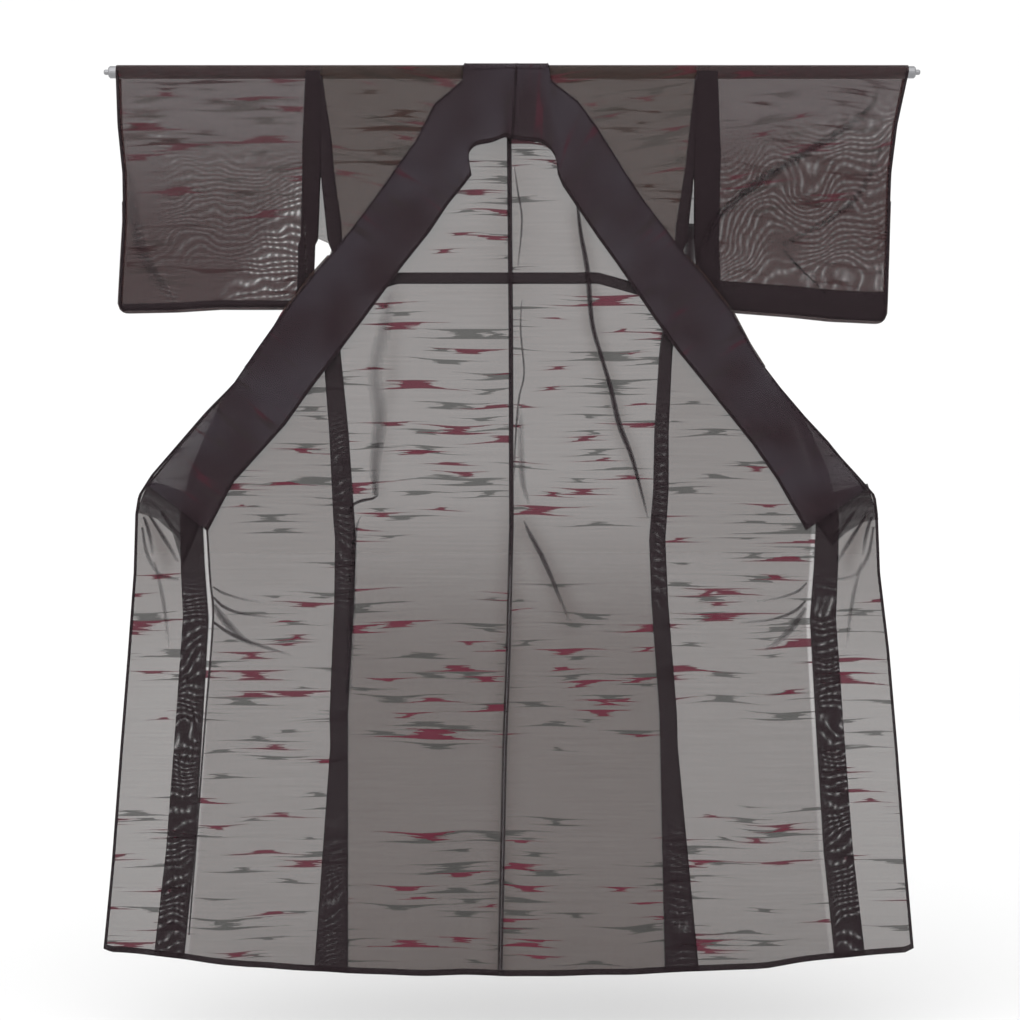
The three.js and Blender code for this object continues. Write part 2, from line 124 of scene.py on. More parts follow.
# Hem: distance from its middle, drop. Bands and turnings: drop, width left, width right.
HEM = ((0, 1571), (280, 1566), (450, 1555), (560, 1541), (690, 1529), (710, 1519))
ARMHOLE_BAND = ((0, 2, 2), (122, 20, 12), (180, 24, 17), (264, 27, 22), (318, 24, 20))
SIDE_ALLOWANCE = ((318, 26, 20), (519, 30, 22), (779, 36, 27), (1177, 30, 30), (1571, 58, 58))
# Creases pressed into the body: side, height of the ridge, how far painted shade darkens the
# cloth along it, its half width, and its line of (x, drop) points.
BODY_CREASES = (
    ("right", 3.5, 0.25, 16.0, (
        (115, 243), (120, 283), (131, 344), (139, 434), (155, 493), (171, 547),
        (186, 611), (206, 663), (219, 708), (233, 755))),
    ("right", 2.5, 0.25, 20.0, ((24, 786), (50, 837), (68, 877), (82, 898), (99, 953))),
    ("left", 2.5, 0.12, 16.0, ((-204, 378), (-211, 542), (-222, 594), (-234, 727))),
)
# How far the tuck dips: x, dip.
TUCK_DIP = ((-300, 30), (-292, 28), (-198, 0), (150, 0), (181, 8), (222, 19), (300, 24))
# Narrow darkened strips on the body, for a pleat's folded layers and for painted shade along
# soft folds and pulls: side, and their line of x, drop, width and darkness.
BODY_FOLDS_AND_SHADE = (
    ("right", ((113, 225, 3, 0.2), (115, 243, 6, 0.8), (120, 283, 8, 1), (131, 344, 10, 1),
               (139, 434, 9, 1), (155, 493, 8, 1), (171, 547, 9, 1), (186, 611, 11, 1),
               (206, 663, 9, 1), (219, 708, 7, 0.8), (236, 775, 4, 0.1))),
    ("right", ((20, 776, 3, 0.1), (30, 800, 8, 0.5), (50, 837, 10, 0.6), (68, 877, 9, 0.5),
               (99, 953, 5, 0))),
    ("right", ((4, 161, 3, 0.1), (10, 205, 4, 0.45), (17, 248, 4, 0.5), (15, 292, 4, 0.4),
               (10, 335, 3, 0.1))),
    ("right", ((17, 396, 3, 0.1), (15, 448, 4, 0.4), (21, 521, 4, 0.5), (13, 561, 4, 0.5),
               (9, 596, 5, 0.5), (5, 656, 4, 0.4), (4, 708, 3, 0.1))),
    ("right", ((13, 575, 10, 0), (15, 620, 14, 0.12), (16, 665, 14, 0.16), (19, 712, 12, 0.25),
               (30, 750, 7, 0.05))),
    ("right", ((312, 262, 20, 0.8), (310, 290, 34, 1.6), (308, 325, 36, 1.6), (303, 354, 26, 1.0))),
    ("left", ((-212, 380, 20, 0.02), (-222, 440, 28, 0.12), (-238, 520, 30, 0.14), (-230, 600, 30, 0.2),
              (-238, 680, 22, 0.24), (-237, 735, 12, 0.4))),
    ("left", ((-233, 735, 4, 0.3), (-243, 741, 5, 1.1), (-262, 745, 6, 1.1), (-277, 753, 6, 0.9),
              (-282, 768, 5, 0.4))),
    ("left", ((-262, 770, 4, 0), (-272, 800, 8, 0.3), (-276, 870, 12, 0.3), (-280, 960, 14, 0.2),
              (-284, 1080, 12, 0.05))),
    ("left", ((-531, 781, 4, 1.2), (-524, 892, 4, 1.2), (-519, 960, 4, 1.2), (-533, 1146, 4, 1.0),
              (-551, 1392, 4, 0.9), (-561, 1526, 3, 0.8))),
    ("left", ((-519, 902, 4, 0.5), (-502, 912, 6, 0.4), (-464, 922, 5, 0.15), (-430, 926, 4, 0.0))),
    ("left", ((-518, 921, 4, 0.9), (-500, 937, 7, 0.75), (-468, 947, 6, 0.35), (-408, 953, 4, 0.0))),
    ("left", ((-517, 934, 8, 0.3), (-501, 958, 16, 0.45), (-474, 986, 14, 0.28), (-448, 1002, 8, 0.0))),
    ("left", ((-518, 965, 5, 0.8), (-486, 985, 8, 0.6), (-436, 1003, 8, 0.35), (-380, 1018, 5, 0.0))),
    ("right", ((512, 896, 4, 0.4), (494, 911, 6, 0.4), (455, 921, 5, 0.12), (424, 924, 4, 0.0))),
    ("right", ((510, 928, 4, 0.8), (490, 945, 7, 0.6), (452, 957, 6, 0.3), (394, 962, 4, 0.0))),
    ("right", ((510, 940, 8, 0.25), (488, 972, 14, 0.38), (462, 996, 12, 0.2), (438, 1010, 8, 0.0))),
)


def read(table, at, side="left"):
    """Value of a table's left or right column at a place along its first column."""
    column = 2 if side == "right" and len(table[0]) > 2 else 1
    if at <= table[0][0]:
        return table[0][column]
    for low, high in zip(table, table[1:]):
        if at <= high[0]:
            share = (at - low[0]) / (high[0] - low[0])
            return low[column] + (high[column] - low[column]) * share
    return table[-1][column]


def lerp(low, high, share):
    """The value a share of the way from low to high."""
    return low + (high - low) * share


def smooth(value, low, high):
    """Eases from nought at low to one at high."""
    share = min(max((value - low) / (high - low), 0), 1)
    return share * share * (3 - 2 * share)


def bell(distance, width):
    """One at no distance, falling away over the width."""
    return math.exp(-((distance / width) ** 2))


def half_depth(drop, radius=SHOULDER_RADIUS):
    """Half the space between front and back walls, which draw together below the rod."""
    return lerp(radius, HANG_HALF_DEPTH, min(max(drop, 0) / HANG_DROP, 1))


def sheet_depth(x, drop):
    """Depth of the long sheet behind: back, opened fronts and overlap panels."""
    swing = HEM_SWING * smooth(drop, 330, HEM_DROP)
    waves = sum(s * math.sin(2 * math.pi * x / w + p + drop / 900) for w, p, s in WAVES)
    return half_depth(drop) + swing * waves


def over_rod(x, drop, radius=SHOULDER_RADIUS):
    """A point of cloth bent over the rod, at a negative drop."""
    angle = max(-drop, 0) / radius
    return (x, -radius * math.cos(angle), radius * math.sin(angle))


def hem_level(level, x):
    """Bends the level rows to the hem's real outline as they near the bottom."""
    share = min(max((level - FOLD_END) / (HEM_DROP - FOLD_END), 0), 1)
    return level + (read(HEM, abs(x - HEM_MIDDLE)) - HEM_DROP) * share


def spread(low, high, step):
    """Even values from low to high, about a step apart."""
    count = max(1, round(abs(high - low) / step))
    return [lerp(low, high, index / count) for index in range(count + 1)]


def crease(creases, side, x, drop):
    """Height of the creases near a point, and the extra thread closeness that paints shade along them.
    """
    height = closeness_and_shade = 0
    for crease_side, ridge, dark, width, line in creases:
        if crease_side != side or not line[0][1] - 40 < drop < line[-1][1] + 40:
            continue
        table = tuple((point[1], point[0]) for point in line)
        ends = smooth(drop, line[0][1] - 40, line[0][1] + 20)
        ends *= 1 - smooth(drop, line[-1][1] - 20, line[-1][1] + 40)
        near = bell(x - read(table, drop), width) * ends
        height += ridge * near
        # Painted shade: the cloth is drawn closer, so darker, along the crease.
        closeness_and_shade += dark * near
    return height, closeness_and_shade


def bent(line, low, share):
    """A point of the smooth curve through a line's points, a share of the way past one."""
    before, start, end, after = (line[min(max(low + step, 0), len(line) - 1)] for step in (-1, 0, 1, 2))
    return [
        b + 0.5 * share * (c - a + share * (2 * a - 5 * b + 4 * c - d + share * (3 * (b - c) + d - a)))
        for a, b, c, d in zip(before, start, end, after)
    ]


class Cloth:
    """A bmesh whose vertices carry the cloth's own coordinates, in metres, and its closeness, which
    also carries painted shade.
    """

    def __init__(self):
        self.bm = bmesh.new()
        self.woven = self.bm.verts.layers.float_vector.new("woven")
        self.closeness = self.bm.verts.layers.float.new("closeness")

    def patch(self, rows, columns, place):
        """A grid patch. place(row, column) gives point, (across, along), closeness with painted shade,
        ripple.
        """
        made = bmesh.ops.create_grid(
            self.bm, x_segments=columns, y_segments=len(rows) - 1, size=0.5
        )
        for vert in made["verts"]:
            row = rows[round((0.5 - vert.co.y) * (len(rows) - 1))]
            point, (across, along), closeness_and_shade, ripple = place(row, vert.co.x + 0.5)
            vert.co = [value * MM for value in point]
            vert[self.woven] = (across * MM, along * MM, ripple)
            vert[self.closeness] = closeness_and_shade

    def ribbon(self, line, place, lift):
        """A narrow strip along a curve through points of x, drop, width and darkness."""
        rows = [at / 6 for at in range(6 * (len(line) - 1) + 1)]

        def edge(row, share):
            low = min(int(row), len(line) - 2)
            x, drop, width, dark = bent(line, low, row - low)
            ahead = bent(line, low, row - low + 0.05)
            run = (ahead[0] - x, ahead[1] - drop)
            offset = (share - 0.5) * width / math.hypot(*run)
            point = place(x + run[1] * offset, drop - run[0] * offset)
            core = 1 - abs(2 * share - 1)
            return (point[0], point[1] - lift, point[2]), (x, drop), dark * (0.04 + 0.96 * core), 0

        self.patch(rows, 4, edge)

    def piece(self, name, material, shell=SHEER):
        """Joins the patches and gives the sheet its thin shell."""
        bmesh.ops.remove_doubles(self.bm, verts=self.bm.verts, dist=MERGE_DISTANCE)
        bmesh.ops.recalc_face_normals(self.bm, faces=self.bm.faces)
        for face in self.bm.faces:
            face.smooth = True
        mesh = bpy.data.meshes.new(name)
        self.bm.to_mesh(mesh)
        self.bm.free()
        made = bpy.data.objects.new(name, mesh)
        scene.collection.objects.link(made)
        mesh.materials.append(material)
        solidify = made.modifiers.new("shell", "SOLIDIFY")
        solidify.thickness = shell * MM
        solidify.offset = 0
        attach(made, "root")
        return made


def new_group(name, numbers, results):
    """An empty shader node group: the cloth's coordinates and numbers in, numbers out."""
    group = bpy.data.node_groups.new(name, "ShaderNodeTree")
    group.interface.new_socket("Cloth", in_out="INPUT", socket_type="NodeSocketVector")
    for socket in numbers:
        group.interface.new_socket(socket, in_out="INPUT", socket_type="NodeSocketFloat")
    for socket in results:
        group.interface.new_socket(socket, in_out="OUTPUT", socket_type="NodeSocketFloat")
    return group, group.nodes.new("NodeGroupInput"), group.nodes.new("NodeGroupOutput")


def feed(tree, socket, value):
    """Links another node's output to an input, or sets the input's own value."""
    if isinstance(value, bpy.types.NodeSocket):
        tree.links.new(value, socket)
    else:
        socket.default_value = value


def calc(tree, operation, *values, clamp=False):
    """A Math node fed by sockets or numbers; returns its output."""
    node = tree.nodes.new("ShaderNodeMath")
    node.operation = operation
    node.use_clamp = clamp
    for socket, value in zip(node.inputs, values):
        feed(tree, socket, value)
    return node.outputs[0]


def noise(tree, vector, scale, detail):
    """Soft noise from nought to one, at a scale in cells a metre."""
    node = tree.nodes.new("ShaderNodeTexNoise")
    node.inputs["Scale"].default_value = scale
    node.inputs["Detail"].default_value = detail
    tree.links.new(vector, node.inputs["Vector"])
    return node.outputs["Fac"]


def pack_vector(tree, x, y, z=0.0):
    """A vector made of three sockets or numbers."""
    node = tree.nodes.new("ShaderNodeCombineXYZ")
    for socket, value in zip(node.inputs, (x, y, z)):
        feed(tree, socket, value)
    return node.outputs[0]


def split_vector(tree, vector):
    """The three numbers of a vector."""
    node = tree.nodes.new("ShaderNodeSeparateXYZ")
    tree.links.new(vector, node.inputs[0])
    return node.outputs


def random_of(tree, x, y, seed):
    """Three random numbers for a cell of the weave."""
    node = tree.nodes.new("ShaderNodeTexWhiteNoise")
    node.noise_dimensions = "3D"
    tree.links.new(pack_vector(tree, x, y, seed), node.inputs["Vector"])
    return split_vector(tree, node.outputs["Color"])


CROWD_REPEAT = 0.42  # metres of cloth after which the crowded stretches come again
CROWD_START = 0.6  # and where the first of them lies


def streak_group():
    """Woven streaks: waisted shapes with long pointed tails, one to a cell of a loose grid."""
    group, given, result = new_group(
        "woven_streaks",
        ["Cell Width", "Cell Height", "Length", "Height", "Amount", "Seed", "Threads", "Crowd Seed"],
        ["Mask"],
    )
    across, along, _ = split_vector(group, given.outputs["Cloth"])
    cell_height = given.outputs["Cell Height"]
    cell_width = given.outputs["Cell Width"]
    seed = given.outputs["Seed"]
    row = calc(group, "FLOOR", calc(group, "DIVIDE", along, cell_height))
    stagger = random_of(group, row, 3.7, seed)
    moved = calc(group, "ADD", calc(group, "DIVIDE", across, cell_width), stagger[0])
    column = calc(group, "FLOOR", moved)
    chance, tilt, size = random_of(group, column, row, seed)
    shift, lean, body = random_of(group, column, row, calc(group, "ADD", seed, 11.3))
    # Place inside the cell, in metres from the streak's middle.
    middle = calc(group, "MULTIPLY_ADD", calc(group, "SUBTRACT", shift, 0.5), 0.16, 0.5)
    x = calc(group, "SUBTRACT", calc(group, "FRACT", moved), middle)
    x = calc(group, "MULTIPLY", x, cell_width)
    raised = calc(group, "FRACT", calc(group, "MULTIPLY", body, 13.7))
    raised = calc(group, "MULTIPLY_ADD", raised, 0.4, 0.3)
    z = calc(group, "FRACT", calc(group, "DIVIDE", along, cell_height))
    z = calc(group, "MULTIPLY", calc(group, "SUBTRACT", z, raised), cell_height)
    scale = calc(group, "MULTIPLY_ADD", size, 0.68, 0.4)
    half_height = calc(group, "MULTIPLY", given.outputs["Height"], scale)
    half_length = calc(group, "MULTIPLY", given.outputs["Length"], scale)
    level = calc(group, "DIVIDE", z, half_height)
    # The thread ends step in and out along the weft, so the tails are feathered.
    ends = calc(group, "SUBTRACT", given.outputs["Threads"], 0.5)
    feather = calc(group, "MULTIPLY", ends, calc(group, "MULTIPLY", half_length, 0.8))
    skew = calc(group, "MULTIPLY", calc(group, "MULTIPLY_ADD", lean, 0.6, -0.3), level)
    skew = calc(group, "MULTIPLY", skew, half_length)
    side = calc(group, "ADD", calc(group, "ADD", x, skew), feather)
    side = calc(group, "ABSOLUTE", side)
    flare = calc(group, "POWER", calc(group, "ABSOLUTE", level), 4.0)
    waist = calc(group, "MULTIPLY_ADD", body, 0.20, 0.11)
    reach = calc(group, "MULTIPLY", calc(group, "ADD", waist, flare), half_length)
    inside = calc(group, "SUBTRACT", reach, side)
    inside = calc(group, "MULTIPLY_ADD", inside, 350, 0.5, clamp=True)
    capped = calc(group, "SUBTRACT", 1, calc(group, "ABSOLUTE", level))
    capped = calc(group, "MULTIPLY_ADD", capped, 9, 0.2, clamp=True)
    # Some streaks keep only their upper or lower half.
    half = calc(group, "MULTIPLY_ADD", calc(group, "SUBTRACT", tilt, 0.5), 3.0, level)
    kept = calc(group, "MULTIPLY_ADD", half, 6, 7.5, clamp=True)
    kept_above = calc(group, "MULTIPLY_ADD", half, -6, 7.5, clamp=True)
    # Crowded and empty stretches follow one another down the cloth.
    cell_across = calc(group, "MULTIPLY", calc(group, "SUBTRACT", column, stagger[0]), cell_width)
    cell_along = calc(group, "MULTIPLY", row, cell_height)
    places = (calc(group, "MULTIPLY", cell_across, 3.0), calc(group, "MULTIPLY", cell_along, 5.2))
    patches = pack_vector(group, *places, given.outputs["Crowd Seed"])
    turn = calc(group, "MULTIPLY_ADD", cell_along, 2 * math.pi / CROWD_REPEAT,
                -2 * math.pi * CROWD_START / CROWD_REPEAT)
    crowd = calc(group, "MULTIPLY_ADD", noise(group, patches, 1.0, 0.0), 4.8, -1.45)
    crowd = calc(group, "MULTIPLY_ADD", calc(group, "COSINE", turn), 0.6, crowd)
    wanted = calc(group, "MULTIPLY", given.outputs["Amount"], crowd)
    present = calc(group, "LESS_THAN", chance, wanted)
    mask = inside
    for factor in (capped, kept, kept_above, present):
        mask = calc(group, "MULTIPLY", mask, factor)
    group.links.new(mask, result.inputs["Mask"])
    return group


BEAD_PITCH = 0.0125


def ripple_group():
    """Wavy light and dark lines that two sheer walls make where they hang close together."""
    group, given, result = new_group("weave_ripples", ["Pitch", "Whirl"], ["Lines"])
    across, along, _ = split_vector(group, given.outputs["Cloth"])
    flat = pack_vector(group, across, along)
    drift = calc(group, "SUBTRACT", noise(group, flat, 10.0, 0.0), 0.5)
    drift = calc(group, "MULTIPLY", drift, given.outputs["Whirl"])
    bend = calc(group, "SUBTRACT", noise(group, flat, 27.0, 0.0), 0.5)
    bend = calc(group, "MULTIPLY", bend, 0.022)
    path = calc(group, "MULTIPLY_ADD", along, 0.85, calc(group, "MULTIPLY", across, 0.14))
    path = calc(group, "ADD", calc(group, "ADD", path, drift), bend)
    turn = calc(group, "MULTIPLY", calc(group, "DIVIDE", path, given.outputs["Pitch"]), 2 * math.pi)
    beads = calc(group, "MULTIPLY", calc(group, "SUBTRACT", across, bend), 2 * math.pi / BEAD_PITCH)
    beads = calc(group, "SINE", beads)
    lines = calc(group, "MULTIPLY_ADD", calc(group, "SINE", turn), 0.5, 0.5)
    lines = calc(group, "MULTIPLY", lines, calc(group, "MULTIPLY_ADD", beads, 0.17, 0.83))
    group.links.new(calc(group, "POWER", lines, 1.6), result.inputs["Lines"])
    return group


THREAD_PITCH = 0.0011


def weave_group():
    """Fine open weave: threads both ways, with slightly thicker wefts here and there."""
    group, given, result = new_group("open_weave", [], ["Threads", "Slubs"])
    across, along, _ = split_vector(group, given.outputs["Cloth"])
    turns = (calc(group, "MULTIPLY", way, math.pi / THREAD_PITCH) for way in (across, along))
    warp, weft = (calc(group, "ABSOLUTE", calc(group, "SINE", turn)) for turn in turns)
    stretched = (calc(group, "MULTIPLY", across, 6), calc(group, "MULTIPLY", along, 260))
    slubs = noise(group, pack_vector(group, *stretched), 1.0, 1.0)
    group.links.new(calc(group, "MAXIMUM", warp, weft), result.inputs["Threads"])
    group.links.new(slubs, result.inputs["Slubs"])
    return group


STREAKS = streak_group()
RIPPLES = ripple_group()
WEAVE = weave_group()
GROUND_YARN = (0.036, 0.016, 0.0165, 1)
BODY_YARN = (0.040, 0.0225, 0.018, 1)
BAND_YARN = (0.015, 0.0085, 0.0105, 1)
CRIMSON_YARN = (0.088, 0.012, 0.024, 1)
GREY_YARN = (0.030, 0.028, 0.025, 1)
# How much closer the threads lie in a streak of each yarn.
CRIMSON_CLOSENESS = 1.75
GREY_CLOSENESS = 0.8
# Streak sets: cell width and height, half length, half height, amount, seed. Two of crimson
# yarn, then two of grey yarn.
STREAK_SETS = (
    (0.30, 0.030, 0.068, 0.0074, 0.85, 0.0),
    (0.42, 0.047, 0.092, 0.0098, 0.72, 5.2),
    (0.29, 0.026, 0.070, 0.0072, 1.35, 20.4),
    (0.43, 0.040, 0.102, 0.0096, 1.2, 33.1),
)


def use(tree, group, **values):
    """Places a shared group; values are sockets or numbers for its named inputs."""
    node = tree.nodes.new("ShaderNodeGroup")
    node.node_tree = group
    for name, value in values.items():
        feed(tree, node.inputs[name.replace("_", " ")], value)
    return node.outputs


def mixed(tree, factor, first, second):
    """A colour between two colours or colour sockets."""
    node = tree.nodes.new("ShaderNodeMix")
    node.data_type = "RGBA"
    for name, value in (("Factor", factor), ("A", first), ("B", second)):
        feed(tree, node.inputs[name], value)
    return node.outputs["Result"]


def sheer_material(name, clear, seed, patterned=True, ripples=None, bold=1.0, strength=1.0,
                   ground=GROUND_YARN, clouds=None):
    """Sheer cloth that lets the share `clear` of the light through one layer.

    Ripples are a pitch and a whirl in metres, bold is how far the yarns' colours differ from
    the ground's, strength is how much closer the streaks are woven, and clouds is a second
    ground colour in soft patches.
    """
    material = bpy.data.materials.new(name)
    material.use_nodes = True
    tree = material.node_tree
    shader = tree.nodes["Principled BSDF"]
    woven = tree.nodes.new("ShaderNodeAttribute")
    woven.attribute_name = "woven"
    closeness_and_shade_node = tree.nodes.new("ShaderNodeAttribute")
    closeness_and_shade_node.attribute_name = "closeness"
    cloth = woven.outputs["Vector"]
    weave = use(tree, WEAVE, Cloth=cloth)
    crowding_and_shade = calc(tree, "MULTIPLY_ADD", weave["Slubs"], 0.14, 0.93)
    finely = calc(tree, "MULTIPLY_ADD", weave["Threads"], 0.2, 0.84)
    crowding_and_shade = calc(tree, "MULTIPLY", crowding_and_shade, finely)
    if ripples:
        pitch, whirl = ripples
        lines = use(tree, RIPPLES, Cloth=cloth, Pitch=pitch, Whirl=whirl)["Lines"]
        wavy = calc(tree, "MULTIPLY_ADD", lines, -1.25, 0.3)
        wavy = calc(tree, "MULTIPLY", split_vector(tree, cloth)[2], wavy)
        wavy = calc(tree, "MAXIMUM", calc(tree, "ADD", 1, wavy), 0.04)
        crowding_and_shade = calc(tree, "MULTIPLY", crowding_and_shade, wavy)
    # The closeness attribute also carries painted shade, and here it darkens the cloth.
    crowding_and_shade = calc(tree, "MULTIPLY", crowding_and_shade, closeness_and_shade_node.outputs["Fac"])
    shader.inputs["Base Color"].default_value = ground
    if patterned:
        across, along, _ = split_vector(tree, cloth)
        ends = (calc(tree, "MULTIPLY", across, 22), calc(tree, "MULTIPLY", along, 560))
        threads = noise(tree, pack_vector(tree, *ends, seed), 1.0, 1.0)
        # The weft isn't quite level, so the streaks lean a little this way and that.
        sway = noise(tree, pack_vector(tree, across, along, seed), 9.0, 0.0)
        leaning = calc(tree, "MULTIPLY_ADD", sway, 0.013, along)
        swayed = pack_vector(tree, across, leaning)
        masks = []
        for width, height, length, half, amount, offset in STREAK_SETS:
            masks.append(use(
                tree, STREAKS, Cloth=swayed, Cell_Width=width, Cell_Height=height, Length=length,
                Height=half, Amount=amount, Seed=seed + offset, Threads=threads, Crowd_Seed=seed,
            )["Mask"])
        # A negative ripple value marks a layer whose streaks look faded.
        faded = calc(tree, "ADD", 1, calc(tree, "MINIMUM", split_vector(tree, cloth)[2], 0))
        crimson = calc(tree, "MULTIPLY", calc(tree, "MAXIMUM", masks[0], masks[1]), faded)
        grey = calc(tree, "MULTIPLY", calc(tree, "MAXIMUM", masks[2], masks[3]), faded)
        color = ground
        if clouds:
            soft = calc(tree, "MULTIPLY_ADD", noise(tree, cloth, 9.0, 1.0), 3.4, -1.2, clamp=True)
            color = mixed(tree, soft, ground, clouds)
        for mask, yarn, closeness in (
            (grey, GREY_YARN, GREY_CLOSENESS), (crimson, CRIMSON_YARN, CRIMSON_CLOSENESS),
        ):
            dyed = [lerp(plain, own, bold) for plain, own in zip(ground, yarn)]
            color = mixed(tree, mask, color, dyed)
            crowding_and_shade = calc(tree, "ADD", crowding_and_shade, calc(tree, "MULTIPLY", mask, closeness * strength))
        tree.links.new(color, shader.inputs["Base Color"])
    # Light through one surface of the shell, less where threads crowd, where shade is painted, and
    # where a streak is woven.
    through = calc(tree, "POWER", math.sqrt(clear), crowding_and_shade)
    tree.links.new(calc(tree, "SUBTRACT", 1, through, clamp=True), shader.inputs["Alpha"])
    bump = tree.nodes.new("ShaderNodeBump")
    bump.inputs["Strength"].default_value = 0.25
    bump.inputs["Distance"].default_value = 0.0002
    tree.links.new(weave["Threads"], bump.inputs["Height"])
    tree.links.new(bump.outputs["Normal"], shader.inputs["Normal"])
    shader.inputs["Roughness"].default_value = 0.62
    shader.inputs["Specular IOR Level"].default_value = 0.12
    shader.inputs["Sheen Weight"].default_value = 0.03
    shader.inputs["Sheen Roughness"].default_value = 0.4
    return material


def body_panel(side):
    """The panel's sheet, and the doubled strips of its seam allowances, hem and tuck, with darkened
    strips for its pleats and for painted shade along its soft folds and pulls.
    """
    sign = SIGN[side]
    cloth = Cloth()
    shoulder = read(BODY_SIDE, 0, side)
    neck = read(NECKLINE, 0, side)
    neck_columns = 28
    back_neck_columns = 9
    columns = neck_columns + back_neck_columns
    neck_share = (neck - shoulder) / (read(CENTRE_BACK, 0, side) - shoulder)
    stagger = 0 if side == "left" else 613  # where the piece lies in the weave

    def sheet_point(x, level, lift=0.0):
        """A point of the long sheet behind, with its creases, and its tone, which is painted shade:
        darker low on the body and beside the centre seam.
        """
        drop = hem_level(level, x)
        # The creases add painted shade along their ridges.
        height, closeness_and_shade = crease(BODY_CREASES, side, x, drop)
        point = (x, sheet_depth(x, drop) - height - lift, -drop)
        # Painted shade: the cloth is drawn darker low on the body and beside the centre seam.
        tone = lerp(1.02, 1.58, smooth(drop, 690, 1060))
        beside = abs(x - read(CENTRE_BACK, drop, side))
        tone += 0.2 * bell(beside, 20) * smooth(drop, 600, 900)
        tone += 0.1 * bell(beside, 45) * (1 - smooth(drop, 300, 600))
        return point, (x + stagger, drop), tone + closeness_and_shade, 0

    def back_point(row, share):
        """The back, from its side seam to the centre seam."""
        edge_table = BACK_SIDE if row < FOLD_TOP else BODY_SIDE
        side_x = read(edge_table, row, side) - sign * GAP / 2
        x = lerp(side_x, read(CENTRE_BACK, row, side) + sign * GAP / 2, share)
        if row < 0:
            return over_rod(x, row), (x + stagger, -2 * TOP_DROP + row), 1, 0
        return sheet_point(x, row)

    back_rows = spread(TOP_DROP, 2 * TOP_DROP, ROD_STEP)
    hang_rows = spread(0, ARMHOLE_END, ROW_STEP) + spread(SIDE_SEAM_START, TUCK_DROP, ROW_STEP)
    hang_rows += spread(TUCK_DROP, HEM_DROP, ROW_STEP)[1:]
    over = neck_columns / columns

    def at_neck(share):
        """Keeps a column of the grid on the neck point."""
        if share <= over:
            return neck_share * share / over
        return lerp(neck_share, 1, (share - over) / (1 - over))

    cloth.patch(back_rows, columns, lambda row, share: back_point(row, at_neck(share)))
    # The row level with the rod is the last one over it.
    cloth.patch(hang_rows, columns, lambda row, share: back_point(row or 2 * TOP_DROP, at_neck(share)))

    def outer_x(row):
        """Outer edge of the front: its side seam, or lower down its fold."""
        if row >= FOLD_TOP:
            return read(FOLD, row, side)
        return read(BODY_SIDE, row, side) - sign * GAP / 2

    def front_point(row, share):
        """The front's upper layer, from the neckline to its outer edge."""
        neck_x = read(NECKLINE, max(row, 0), side) - sign * 7 * smooth(row, 0, 40)
        x = lerp(neck_x, outer_x(max(row, 0)), share)
        woven = (x + stagger, FOLDED_FRONT_PLACE - row + 0.16 * abs(x - outer_x(0)))
        if row < 0:
            return over_rod(x, row), woven, 1, FADED
        return (x, -half_depth(row), -row), woven, 1.1, FADED

    fold_rows = spread(FOLD_TOP, FOLD_END, FOLD_STEP)
    front_rows = spread(TOP_DROP, 0, ROD_STEP) + spread(0, FOLD_TOP, ROW_STEP)[1:] + fold_rows[1:]
    cloth.patch(front_rows, neck_columns, front_point)

    def turn_point(row, share):
        """Round the fold, from the hidden front layer to the opened one behind it."""
        angle = math.pi * share
        x = read(FOLD, row, side) + sign * FOLD_RADIUS * math.sin(angle)
        y = -half_depth(row) + FOLD_RADIUS * (1 - math.cos(angle))
        return (x, y, -row), (x + stagger, FOLDED_FRONT_PLACE - row), 1, 0

    cloth.patch(fold_rows, 8, turn_point)

    def opened_edges(row):
        """The opened front's outer and inner edge."""
        seam = read(OVERLAP_SEAM, row, side) - sign * GAP / 2
        start = read(FOLD, row, side) if row <= FOLD_END else seam
        return start, read(BODY_SIDE, row, side) + sign * GAP

    def opened_point(row, share):
        """The opened front, from its fold or the overlap seam to the side seam."""
        start, end = opened_edges(row)
        x = lerp(start, end, share)
        beside = abs(x - start)
        light = smooth(beside, 0, 2) * (1 - smooth(beside, 6, 9)) * smooth(row, 760, 800)
        light *= 1 - 0.6 * smooth(row, 1080, 1300)
        point, woven, _, ripple = sheet_point(x, row)
        at_fold = (1 - smooth(row, FOLD_END, FOLD_END + 90)) * (1 - smooth(share, 0, 1))
        y = lerp(point[1], -half_depth(row) + 2 * FOLD_RADIUS, at_fold)
        woven = (x + stagger, OPENED_FRONT_PLACE + woven[1])
        return (point[0], y, point[2]), woven, 1.16 - 0.5 * light, ripple

    opened_rows = fold_rows + spread(FOLD_END, HEM_DROP, ROW_STEP)[1:]
    cloth.patch(opened_rows, 32, lambda row, share: opened_point(row, share ** 1.6))
    sheet = cloth.piece(f"body_{side}_cloth", SHEER_CLOTH[side])

    bands = Cloth()

    def strip(rows, columns, place, lift):
        """A doubled strip that follows its sheet and stands a little before it."""
        def lifted(row, share):
            point, woven, _, ripple = place(row, share)
            return (point[0], point[1] - lift, point[2]), woven, 1, ripple
        bands.patch(rows, columns, lifted)

    def tuck_point(row, share):
        dip = read(TUCK_DIP, back_point(row, share)[0][0])
        return back_point(row + dip, share)

    strip(spread(TUCK_DROP, TUCK_DROP + TUCK_HEIGHT, 5), columns, tuck_point, SEAM_LIFT)
    # Darkened strips: a pleat's folded layers, and painted shade along soft folds and pulls.
    for fold_side, line in BODY_FOLDS_AND_SHADE:
        if fold_side == side:
            bands.ribbon(line, lambda x, drop: sheet_point(x, drop)[0], SEAM_LIFT * 2)
    strip(HEM_ROWS, columns, back_point, SEAM_LIFT)
    strip(HEM_ROWS, 30, opened_point, SEAM_LIFT)

